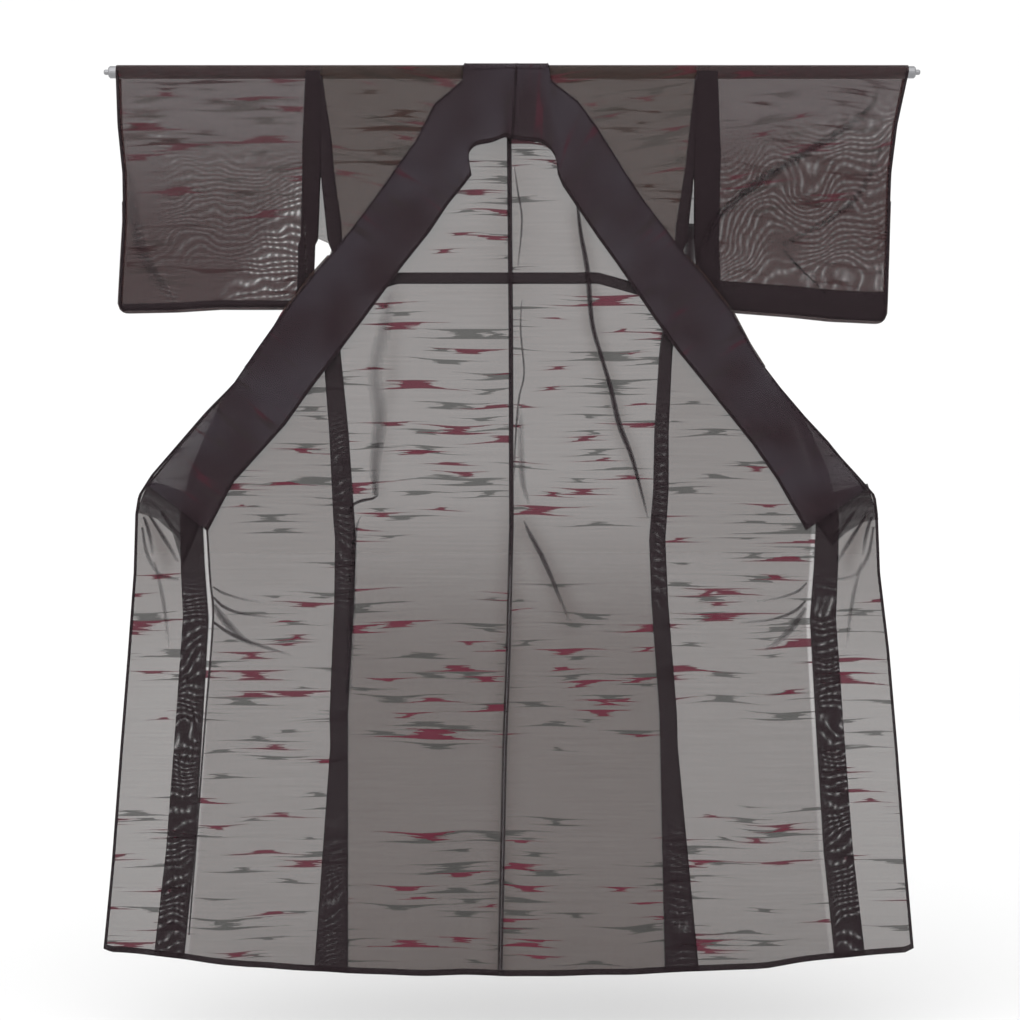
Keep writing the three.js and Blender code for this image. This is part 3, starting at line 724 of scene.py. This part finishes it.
    def side_band(row, share):
        start, end = opened_edges(row)
        span = abs(end - start)
        width = min(read(SIDE_ALLOWANCE, row, side), 0.6 * span)
        point, woven, closeness_and_shade, _ = opened_point(row, 1 + (1.2 - share * (width + 1.2)) / span)
        ripple = smooth(row, 560, 640) * (1 - smooth(row, 900, 980)) + smooth(row, 1240, 1400)
        ripple *= 0.75 * smooth(share, 0.1, 0.4) * (1 - smooth(share, 0.7, 1))
        return point, woven, closeness_and_shade, ripple

    strip(spread(FOLD_TOP, BAND_END, ROW_STEP), 6, side_band, SEAM_LIFT * 1.4)

    def centre_band(row, share):
        x = read(CENTRE_BACK, row, side) + sign * (4.8 * share - 0.8)
        point, woven, _, _ = sheet_point(x, row, SEAM_LIFT * (2 if side == "left" else 3))
        middle = (1 - smooth(share, 0.4, 0.75)) * smooth(row, 760, 900)
        return point, woven, 1 - 0.8 * middle, 0

    bands.patch(spread(12, BAND_END, ROW_STEP), 4, centre_band)

    def armhole_band(row, share):
        x = read(BODY_SIDE, row, side) - sign * (GAP / 2 + share * read(ARMHOLE_BAND, row, side))
        return (x, -half_depth(row), -row), (x, row), 1, 0

    strip(spread(8, FOLD_TOP, ROW_STEP), 3, armhole_band, SEAM_LIFT)
    doubled = bands.piece(f"body_{side}_seams_and_shade", RIPPLED_BAND)
    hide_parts(f"body_{side}")


SHEER_CLOTH = {
    "left": sheer_material("sheer_cloth_left", 0.265, 2.0, ground=BODY_YARN),
    "right": sheer_material("sheer_cloth_right", 0.265, 71.0, ground=BODY_YARN),
}
RIPPLED_BAND = sheer_material("rippled_band", 0.04, 150.0, patterned=False, ripples=(0.0115, 0.09),
                              ground=BAND_YARN)

body_panel("left")
body_panel("right")


# Overlap panels: one long strip of the same cloth on each front edge, slanted at its top
# where the collar is sewn on, with a wide allowance at the seam and a rolled free edge.
FRONT_EDGE = (
    (511, -465, 442), (611, -549, 518), (705, -627, 600), (743, -650, 632), (776, -655, 636),
    (882, -658, 640), (1023, -668, 656), (1208, -682, 671), (1408, -696, 685), (1571, -710, 698),
)
OVERLAP_ALLOWANCE = ((511, 3, 3), (779, 38, 38), (960, 44, 44), (1571, 52, 52))
OVERLAP_TOP = FOLD_END + 22
EDGE_FOLD = 5
EDGE_EASE = 6  # how far the front edge stands back where it leaves the collar
# Creases on the overlap panels, listed like the body's; the darkness they add is painted shade.
OVERLAP_CREASES = (
    ("left", 2.0, 0.3, 12.0, ((-632, 776), (-612, 815), (-600, 850))),
    ("right", 2.0, 0.3, 12.0, ((616, 776), (596, 815), (584, 850))),
)
# Painted shade along the pulls that spread from the corner of each front, as lines of distance
# out, drop, width and darkness. They are much alike on both sides, but the right ones lie further in.
PULL_SHIFT = {"left": 0, "right": -15}
PULL_LIFT = 1.9
PULL_SHADE_LINES = (
    ((640, 772, 5, 0.7), (631, 800, 8, 0.5), (624, 840, 6, 0.0)),
    ((630, 770, 5, 0.8), (603, 812, 9, 0.5), (580, 850, 7, 0.1)),
    ((643, 790, 5, 0.5), (634, 838, 8, 0.35), (612, 872, 8, 0.15), (580, 880, 6, 0.2)),
    ((610, 762, 6, 0.8), (592, 788, 9, 0.6), (570, 815, 8, 0.3)),
    ((622, 850, 6, 0.1), (606, 920, 9, 0.25), (596, 1000, 6, 0.0)),
)
# Where cloth is gathered below the collar's end: x and drop on its upper and its lower line.
GATHERED_CORNER = {
    "left": ((-632, 710, -653, 764), (-604, 716, -618, 775), (-570, 728, -590, 800),
             (-532, 760, -572, 860)),
    "right": ((618, 714, 637, 776), (588, 720, 608, 782), (552, 732, 580, 800), (515, 762, 556, 822)),
}


def overlap_panel(side):
    """The panel's sheet, its doubled strips, the gathers at its corner, and painted shade along the
    pulls there.
    """
    sign = SIGN[side]
    stagger = 1300 if side == "left" else 1900

    def panel_x(row, share):
        seam = read(OVERLAP_SEAM, row, side) + sign * GAP / 2
        # The front edge comes out from under the collar without a step.
        edge = read(FRONT_EDGE, row, side) - sign * EDGE_EASE * (1 - smooth(row, OVERLAP_TOP, 600))
        return lerp(edge, seam, share)

    def panel_point(row, share, lift=0.0):
        """The panel, from its free front edge to the seam."""
        x = panel_x(row, share)
        drop = hem_level(row, x)
        # The creases add painted shade along their ridges.
        height, closeness_and_shade = crease(OVERLAP_CREASES, side, x, drop)
        point = (x, sheet_depth(x, drop) - height - lift, -drop)
        # Painted shade: the panel is drawn darker above drop 850 and paler below drop 1100.
        tone = lerp(1.12, 0.96, smooth(drop, 850, 1100))
        return point, (x + stagger, drop), tone + closeness_and_shade, 0

    cloth = Cloth()
    cloth.patch(spread(OVERLAP_TOP, HEM_DROP, ROW_STEP), 18, panel_point)
    sheet = cloth.piece(f"overlap_{side}_cloth", SHEER_CLOTH[side])

    bands = Cloth()

    def seam_band(row, share):
        width = abs(panel_x(row, 1) - panel_x(row, 0))
        band = min(read(OVERLAP_ALLOWANCE, row, side), 0.7 * width)
        point, woven, _, _ = panel_point(row, 1 + (1.4 - share * (band + 1.4)) / width, 1.4 * SEAM_LIFT)
        return point, woven, 1, 0.95 * smooth(row, 870, 930) * smooth(share, 0.05, 0.2)

    def edge_band(row, share):
        width = abs(panel_x(row, 1) - panel_x(row, 0))
        return panel_point(row, share * EDGE_FOLD / width, SEAM_LIFT)

    bands.patch(spread(OVERLAP_TOP, BAND_END, ROW_STEP), 8, seam_band)
    bands.patch(spread(OVERLAP_TOP, HEM_DROP - HEM_TURNING, ROW_STEP), 1, edge_band)
    bands.patch(HEM_ROWS, 18, lambda row, share: panel_point(row, share, SEAM_LIFT))
    # Cloth gathered from the collar's end to the panel's corner, over a curved lower line.
    corner = GATHERED_CORNER[side]

    def gathered_point(row, share):
        fold = int(min(row, len(corner) - 2))
        ends = [lerp(a, b, row - fold) for a, b in zip(corner[fold], corner[fold + 1])]
        top_x, top_drop, low_x, low_drop = ends
        x, drop = lerp(top_x, low_x, share), lerp(top_drop, low_drop, share)
        return (x, sheet_depth(x, drop) - 1.4, -drop), (x, drop), 0.85 - 0.5 * share * share, 0.3

    bands.patch(spread(0, len(corner) - 1, 0.25), 6, gathered_point)
    # Painted shade along the pulls, as darkened strips before the sheet.
    for line in PULL_SHADE_LINES:
        pull_shade = [(sign * out + PULL_SHIFT[side], *rest) for out, *rest in line]
        bands.ribbon(pull_shade, lambda x, drop: (x, sheet_depth(x, drop), -drop), PULL_LIFT)
    doubled = bands.piece(f"overlap_{side}_seams_and_shade", RIPPLED_BAND)
    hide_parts(f"overlap_{side}")


overlap_panel("left")
overlap_panel("right")


# Sleeves: flat bags of the same cloth over the rod, open at the cuff and down the inner
# edge. Their two walls hang close together, so the weave shows wavy lines.
SLEEVE_CORNER = 19
SLEEVE_WIDTH = 350
SLEEVE_BACK_PLACE = 5200
SLEEVE_COLUMNS = 40
ROD_STRIP_WIDTH = 354
CUFF_DROP = 222
FOLD_SHARE = 0.92  # the rows above this share of the bag are clear of its bottom fold
SLEEVE_BAND_LIFT = 0.7
SLEEVE_FOLD_LIFT = 1.1
CUFF_EDGE = 5
BOTTOM_TURNING = {"left": 12, "right": 50}
# Cuff edge and inner edge: drop, x on the left, x on the right. Bottom: distance from the
# cuff edge, drop on the left, drop on the right. Inner band: drop, width left, width right.
SLEEVE_OUTER = ((0, -686, 687), (94, -683, 667), (177, -675, 657), (260, -674, 654),
                (399, -682, 650), (440, -684, 648))
SLEEVE_INNER = ((0, -332, 320), (174, -332, 316), (288, -338, 317), (298, -343, 318),
                (349, -345, 322), (440, -350, 330))
SLEEVE_BOTTOM = ((0, 419, 437), (90, 417, 433), (170, 412, 425), (340, 411, 412))
INNER_BAND = ((0, 25, 34), (150, 32, 46), (300, 30, 44), (440, 28, 40))
# Painted shade along drag folds on the sleeves' front walls, as lines of x, drop, width and darkness.
SLEEVE_FOLD_SHADE = (
    ("right", ((634, 20, 6, 0.0), (620, 62, 12, 0.12), (566, 106, 16, 0.2), (480, 158, 18, 0.22),
               (405, 208, 18, 0.25), (350, 262, 14, 0.2), (336, 300, 8, 0))),
    ("right", ((470, 305, 3, 0.0), (490, 330, 5, 0.35), (512, 352, 5, 0.35), (545, 385, 3, 0.1))),
    ("right", ((640, 130, 6, 0), (600, 215, 12, 0.12), (540, 262, 12, 0.12), (470, 300, 8, 0.05))),
    ("left", ((-664, 150, 8, 0), (-660, 210, 20, 0.08), (-648, 290, 24, 0.12), (-622, 350, 22, 0.12),
              (-585, 395, 10, 0.03))),
)
# Narrow slit in the inner band: x and drop at its top, lean, half width and lower end.
SLIT = {"left": (-361, 246, 0.03, 2.2, 368), "right": (354, 250, -0.5, 3.6, 300)}
WEFT_SLANT = {"left": 0, "right": 0.12}
# How much paler the wall behind is where the lines are strongest.
BACK_WALL_CLEARING = {"left": 0.42, "right": 0.28}


def left_sleeve_look(x, drop, share):
    """The cloth's tone, and how strongly the wavy lines show: beside the armhole, and in all."""
    lines = 0.62 * smooth(drop, 100, 190) * (1 - smooth(drop, 300, 370)) * smooth(share, 0.08, 0.35)
    beside = smooth(share + 0.32 * (drop - 170) / 210, 0.80, 0.97) * smooth(drop, 140, 200)
    beside *= 1 - smooth(drop, 385, 410)
    patch = bell(x + 632 - 0.62 * (drop - 80), 9) * smooth(drop, 50, 70) * (1 - smooth(drop, 150, 185))
    low_patch = bell(x + 646 - 0.5 * (drop - 280), 13) * smooth(drop, 250, 280)
    tone = lerp(0.88, 1.25, smooth(drop, 70, 330))
    return tone, beside, max(lines, 1.04 * beside, 0.9 * patch, 0.8 * low_patch)


def right_sleeve_look(x, drop, share):
    """The same for the right sleeve, whose lines cover its lower half but for one spot."""
    spot = math.hypot((x - 474) / 34, (drop - 302) / 30)
    lines = 0.75 * smooth(drop + 110 * (1 - share), 120, 215) * smooth(spot, 0.5, 1.3)
    lines *= 1 - smooth(drop, 396, 408)
    tone = lerp(0.92, 1.3, smooth(drop, 60, 200)) - 0.1 * smooth(drop, 260, 340)
    return tone, lines, lines


def sleeve(side):
    """The bag's sheet, its doubled strips, and painted shade along its drag folds."""
    sign = SIGN[side]
    look = left_sleeve_look if side == "left" else right_sleeve_look
    stagger = 2300 if side == "left" else 3100

    def bottom_at(share):
        return read(SLEEVE_BOTTOM, share * SLEEVE_BOTTOM[-1][0], side)

    def wall_point(face, drop, share, lift=0.0):
        """A point of the front wall (face -1) or of the wall behind (face 1)."""
        bottom = bottom_at(share)
        rise = min(max(SLEEVE_CORNER - (bottom - drop), 0), SLEEVE_CORNER)
        corner = SLEEVE_CORNER - math.sqrt(SLEEVE_CORNER ** 2 - rise ** 2)
        outer = read(SLEEVE_OUTER, drop, side) - sign * corner
        x = lerp(outer, read(SLEEVE_INNER, drop, side) + sign * GAP / 2, share)
        wave = 1.6 * math.sin(share * 9 + drop / 70) * smooth(drop, 60, 250) * (1 - share)
        pushed = 13 * smooth(share, 0.1, 0.85) * smooth(drop, 190, 330)
        # Round the bottom fold, where the walls meet.
        low = max(drop - (bottom - HANG_HALF_DEPTH), 0) / HANG_HALF_DEPTH
        close = math.sqrt(max(1 - low * low, 0))
        y = face * (half_depth(drop) * close + lift) + pushed + wave
        slant = WEFT_SLANT[side] * (x - SLEEVE_INNER[0][2])
        tone, clearing, ripple = look(x, drop, share)
        if face > 0:
            tone *= 1 - BACK_WALL_CLEARING[side] * clearing
            return (x, y, -drop), (x + stagger, SLEEVE_BACK_PLACE - drop + slant), tone, 0
        tone *= 1 + 0.1 * clearing
        return (x, y, -drop), (x + stagger, drop + slant), tone, ripple

    def row_drop(row, share):
        """Rows run from the rod to the bottom fold, closer together at the fold."""
        bottom = bottom_at(share)
        if row < FOLD_SHARE:
            return (bottom - HANG_HALF_DEPTH) * row / FOLD_SHARE
        turned = (row - FOLD_SHARE) / (1 - FOLD_SHARE)
        return bottom - HANG_HALF_DEPTH * (1 - math.sin(turned * math.pi / 2))

    def over_point(row, share):
        """The strip over the rod, which joins the two walls."""
        outer, inner = read(SLEEVE_OUTER, 0, side), read(SLEEVE_INNER, 0, side) + sign * GAP / 2
        return over_rod(lerp(outer, inner, share), row), (ROD_STRIP_WIDTH * share + stagger, row), 1, 0

    cloth = Cloth()
    rows = spread(0, 1, 1 / 46)
    for face in (-1, 1):
        def bag_wall(row, share, face=face):
            return wall_point(face, row_drop(row, share), share)

        cloth.patch(rows, SLEEVE_COLUMNS, bag_wall)
    cloth.patch(spread(0, 2 * TOP_DROP, ROD_STEP), SLEEVE_COLUMNS, over_point)
    closed = [row for row in rows if row_drop(row, 0) >= CUFF_DROP]

    def closing(row, share):
        """The outer edge below the cuff, where the two walls are sewn together."""
        drop = row_drop(row, 0)
        front = wall_point(-1, drop, 0)[0]
        behind = wall_point(1, drop, 0)[0]
        angle = math.pi * share
        bulge = min(2.4, abs(front[1] - behind[1]) / 2)
        y = lerp(front[1], behind[1], (1 - math.cos(angle)) / 2)
        return (front[0] + sign * bulge * math.sin(angle), y, front[2]), (stagger, drop), 1, 0

    cloth.patch(closed, 6, closing)
    bag = cloth.piece(f"sleeve_{side}_cloth", SLEEVE_CLOTH[side])

    bands = Cloth()
    slit_x, slit_top, slit_lean, slit_half, slit_end = SLIT[side]

    def banded(face, drop, share):
        """A point of a doubled band, thinner along a narrow slit beside the armhole."""
        point, woven, _, _ = wall_point(face, drop, share, SLEEVE_BAND_LIFT)
        open_part = bell(point[0] - slit_x - slit_lean * (drop - slit_top), slit_half)
        open_part *= smooth(drop, slit_top - 8, slit_top + 14)
        open_part *= 1 - smooth(drop, slit_end - 14, slit_end + 8)
        return point, woven, 1 - 0.9 * open_part, 0

    for face in (-1, 1):
        def inner_band(row, share, face=face):
            drop = row_drop(row, 1)
            return banded(face, drop, 1 - share * read(INNER_BAND, drop, side) / SLEEVE_WIDTH)

        def outer_band(row, share, face=face):
            return banded(face, row_drop(row, 0), share * CUFF_EDGE / SLEEVE_WIDTH)

        straight = [row for row in rows if row <= FOLD_SHARE]
        bands.patch(straight, 18, inner_band)
        bands.patch(straight, 1, outer_band)

    def bottom_band(row, share):
        return banded(-1, bottom_at(share) - HANG_HALF_DEPTH - row, share)

    def on_front(x, drop):
        outer, inner = read(SLEEVE_OUTER, drop, side), read(SLEEVE_INNER, drop, side)
        return wall_point(-1, drop, (x - outer) / (inner - outer))[0]

    bands.patch(spread(0, BOTTOM_TURNING[side], 6), SLEEVE_COLUMNS, bottom_band)
    # Painted shade along the drag folds, as darkened strips before the front wall.
    for fold_side, line in SLEEVE_FOLD_SHADE:
        if fold_side == side:
            bands.ribbon(line, on_front, SLEEVE_FOLD_LIFT)
    doubled = bands.piece(f"sleeve_{side}_seams_and_shade", DOUBLED_CLOTH)
    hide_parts(f"sleeve_{side}")


SLEEVE_CLOTH = {
    "left": sheer_material("sleeve_cloth_left", 0.27, 37.0, ripples=(0.0092, 0.062),
                           bold=0.45, strength=0.6),
    "right": sheer_material("sleeve_cloth_right", 0.27, 43.0, ripples=(0.0122, 0.16),
                            bold=0.45, strength=0.6),
}
DOUBLED_CLOTH = sheer_material("doubled_cloth", 0.03, 140.0, patterned=False, ground=BAND_YARN)

sleeve("left")
sleeve("right")


# Collar: one full-width band, doubled lengthwise with the neckline's spare cloth inside it,
# laid over the rod at the back of the neck and down both fronts.
COLLAR_RADIUS = SHOULDER_RADIUS + CLOTH_WALL + 4 * GAP
COLLAR_SHELL = 0.3
COLLAR_WIDTH = 112
COLLAR_PLACE = 6400
HALF_APART = 0.5  # half the space between the band's two layers
EDGE_SHARE = 0.06  # share of the columns that go round each edge of the band
EDGE_BULGE = 0.003
EDGE_LINE_LIFT = 1.0
# Stations along the collar, from the left end over the neck to the right end: x and drop on
# its seam, then x and drop on its free edge.
COLLAR_LEFT = (
    (-633, 716, -528, 797), (-571, 641, -484, 713), (-526, 588, -436, 660),
    (-481, 539, -392, 611), (-438, 476, -348, 549), (-396, 417, -303, 490),
    (-352, 361, -258, 430), (-312, 315, -219, 377), (-277, 272, -189, 336),
    (-236, 218, -143, 279), (-199, 165, -111, 231), (-166, 120, -83, 197),
    (-134, 57, -70, 180), (-86, 18, -74, 158), (-85, 0, -76, 148), (-84, -8, -74, 141),
    (-83, -16, -69, 134), (-82, -24, -62, 129), (-80, -31, -54, 127), (-50, -31, -36, 124),
    (-8, -31, -13, 115),
)
COLLAR_RIGHT = (
    (615, 724, 510, 795), (548, 641, 460, 708), (507, 597, 417, 646), (466, 549, 374, 592),
    (424, 494, 330, 537), (383, 419, 286, 483), (336, 358, 246, 427), (296, 313, 210, 374),
    (260, 266, 180, 331), (226, 221, 148, 287), (188, 163, 113, 236), (148, 99, 88, 199),
    (114, 53, 79, 178), (66, 16, 77, 156), (65, 0, 74, 147), (64, -8, 69, 139),
    (63, -16, 62, 132), (62, -24, 54, 126), (60, -31, 44, 123), (30, -31, 18, 121),
)


def collar():
    """The doubled band, the spare cloth inside it, and the lines along its edges."""
    stations = COLLAR_LEFT + COLLAR_RIGHT[::-1]
    last = len(stations) - 1
    running = [0.0]  # length of the collar up to each station, for its weave
    for a, b in zip(stations, stations[1:]):
        step = math.dist((a[0] + a[2], a[1] + a[3]), (b[0] + b[2], b[1] + b[3])) / 2
        running.append(running[-1] + step)

    def spare_edge(from_end):
        """Share of the width at which the spare cloth begins, further in near the ends."""
        return 0.6 - 0.22 * from_end

    def point(at, share, lift):
        """A point of the band at a station, a share of the way from seam to free edge."""
        low = min(int(at), last - 1)
        seam_x, seam_drop, free_x, free_drop = (
            lerp(a, b, at - low) for a, b in zip(stations[low], stations[low + 1])
        )
        drop = lerp(seam_drop, free_drop, share)
        x = lerp(seam_x, free_x, share)
        woven = (COLLAR_PLACE + share * COLLAR_WIDTH, lerp(running[low], running[low + 1], at - low))
        from_end = min(at, last - at)
        border = spare_edge(from_end)
        paler = 0.42 if at < last / 2 else 0.15
        paler *= 1 - smooth(share, border - 0.2, border + 0.1)
        tone = 1 - paler * (1 - smooth(from_end, 2.2, 2.8))
        if drop < 0:
            return over_rod(x, drop, COLLAR_RADIUS + lift), woven, 1, 0
        before = COLLAR_RADIUS - SHOULDER_RADIUS - 3 * smooth(drop, 520, 780)
        return (x, -half_depth(drop) - before - lift, -drop), woven, tone, 0

    rows = spread(0, last, 1 / 6)

    def flat_tube(row, share):
        """Round the doubled band: front layer, free edge, back layer, seam edge."""
        if share < 0.5 - EDGE_SHARE:
            return point(row, share / (0.5 - EDGE_SHARE), HALF_APART)
        if share < 0.5:
            angle = math.pi * (share - 0.5 + EDGE_SHARE) / EDGE_SHARE
            return point(row, 1 + EDGE_BULGE * math.sin(angle), HALF_APART * math.cos(angle))
        if share < 1 - EDGE_SHARE:
            return point(row, 1 - (share - 0.5) / (0.5 - EDGE_SHARE), -HALF_APART)
        angle = math.pi * (share - 1 + EDGE_SHARE) / EDGE_SHARE
        return point(row, -EDGE_BULGE * math.sin(angle), -HALF_APART * math.cos(angle))

    cloth = Cloth()
    cloth.patch(rows, 32, flat_tube)
    band = cloth.piece("collar_cloth", COLLAR_CLOTH, shell=COLLAR_SHELL)

    inside = Cloth()

    def spare_point(row, share):
        """The spare cloth fills the band, but for a strip at its outer edge near the ends."""
        from_end = min(row, last - row)
        start = max(0.03, spare_edge(from_end))
        spot, woven, _, ripple = point(row, lerp(start, 0.93, share), 0)
        filled = lerp(smooth(share, -0.03, 0.36), 1, smooth(from_end, 1.5, 2.6))
        return spot, woven, (0.35 + 0.2 * math.sin(share * math.pi)) * filled, ripple

    def line_along(low, high, lift):
        """A strip of the band between two shares of its width."""
        return lambda row, share: point(row, low + (high - low) * share, lift)

    inside.patch(rows, 12, spare_point)
    inside.patch(rows, 1, line_along(0.945, 0.985, 0))
    inside.patch(rows, 1, line_along(0.005, 0.025, 0))
    edges = Cloth()
    edges.patch(rows, 1, line_along(0.955, 0.997, EDGE_LINE_LIFT))
    edges.patch(rows, 1, line_along(0.004, 0.026, EDGE_LINE_LIFT))
    # The collar's own seam at the back of the neck.
    edges.patch(spread(20.38, 20.5, 0.06), 12, line_along(0, 1, EDGE_LINE_LIFT))
    spare = inside.piece("collar_inside", DOUBLED_CLOTH, shell=COLLAR_SHELL)
    edge_lines = edges.piece("collar_edges", RIPPLED_BAND, shell=COLLAR_SHELL)
    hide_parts("collar")


COLLAR_CLOTH = sheer_material("collar_cloth", 0.27, 59.0, bold=0.35, strength=0.5,
                              ground=(0.030, 0.018, 0.022, 1), clouds=(0.044, 0.034, 0.042, 1))
collar()


# Rod: a straight dark tube under the cloth, with a plain bright cap and pin at each end.
# All three are the imported solids themselves, given a coated and a bright metal finish.
def plain_material(name, color, roughness, metallic):
    """A hard finish with a fine speck in its colour and gloss."""
    material = bpy.data.materials.new(name)
    material.use_nodes = True
    tree = material.node_tree
    shader = tree.nodes["Principled BSDF"]
    place = tree.nodes.new("ShaderNodeTexCoord").outputs["Object"]
    speck = noise(tree, place, 900.0, 3.0)
    shade = calc(tree, "MULTIPLY_ADD", speck, 0.3, 0.85)
    darker = [value * 0.7 for value in color[:3]] + [1]
    tree.links.new(mixed(tree, shade, darker, color), shader.inputs["Base Color"])
    tree.links.new(calc(tree, "MULTIPLY", shade, roughness), shader.inputs["Roughness"])
    shader.inputs["Metallic"].default_value = metallic
    return material


ROD_COAT = plain_material("rod_coat", (0.086, 0.104, 0.108, 1), 0.42, 0.0)
BRIGHT_METAL = plain_material("bright_metal", (0.27, 0.27, 0.28, 1), 0.3, 1.0)
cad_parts["rod"].material_slots[0].material = ROD_COAT
for end in ("rod_end_left", "rod_end_right"):
    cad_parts[end].material_slots[0].material = BRIGHT_METAL


# Studio: a pale matt floor below the hem, and a white surround that is brighter to one side, as one
# broad soft light.
# The floor reaches far enough to close the view on every side.
FLOOR_DEPTH = 1.68
FLOOR_REACH = 40
bm = bmesh.new()
bmesh.ops.create_circle(bm, cap_ends=True, segments=96, radius=FLOOR_REACH)
bmesh.ops.translate(bm, verts=bm.verts, vec=(0, 0, -FLOOR_DEPTH))
floor_mesh = bpy.data.meshes.new("floor")
bm.to_mesh(floor_mesh)
bm.free()
floor = bpy.data.objects.new("floor", floor_mesh)
scene.collection.objects.link(floor)
floor_material = bpy.data.materials.new("floor")
floor_material.use_nodes = True
floor_shader = floor_material.node_tree.nodes["Principled BSDF"]
floor_shader.inputs["Base Color"].default_value = (0.76, 0.76, 0.76, 1)
floor_shader.inputs["Roughness"].default_value = 1.0
floor_shader.inputs["Specular IOR Level"].default_value = 0.0
floor_mesh.materials.append(floor_material)

# The surround is white, and brighter where the soft light stands above and before the part.
LIGHT_FROM = (-0.40, -0.70, 0.59)
world = bpy.data.worlds.new("studio")
world.use_nodes = True
world.cycles.sampling_method = "NONE"
sky = world.node_tree
toward = sky.nodes.new("ShaderNodeVectorMath")
toward.operation = "DOT_PRODUCT"
toward.inputs[1].default_value = LIGHT_FROM
sky.links.new(sky.nodes.new("ShaderNodeTexCoord").outputs["Generated"], toward.inputs[0])
glow = sky.nodes.new("ShaderNodeMapRange")
glow.interpolation_type = "SMOOTHSTEP"
for limit, value in (("From Min", 0.35), ("From Max", 1.0), ("To Min", 1.02), ("To Max", 2.2)):
    glow.inputs[limit].default_value = value
sky.links.new(toward.outputs["Value"], glow.inputs["Value"])
sky.links.new(glow.outputs["Result"], sky.nodes["Background"].inputs["Strength"])
sky.nodes["Background"].inputs["Color"].default_value = (1, 1, 1, 1)
scene.world = world
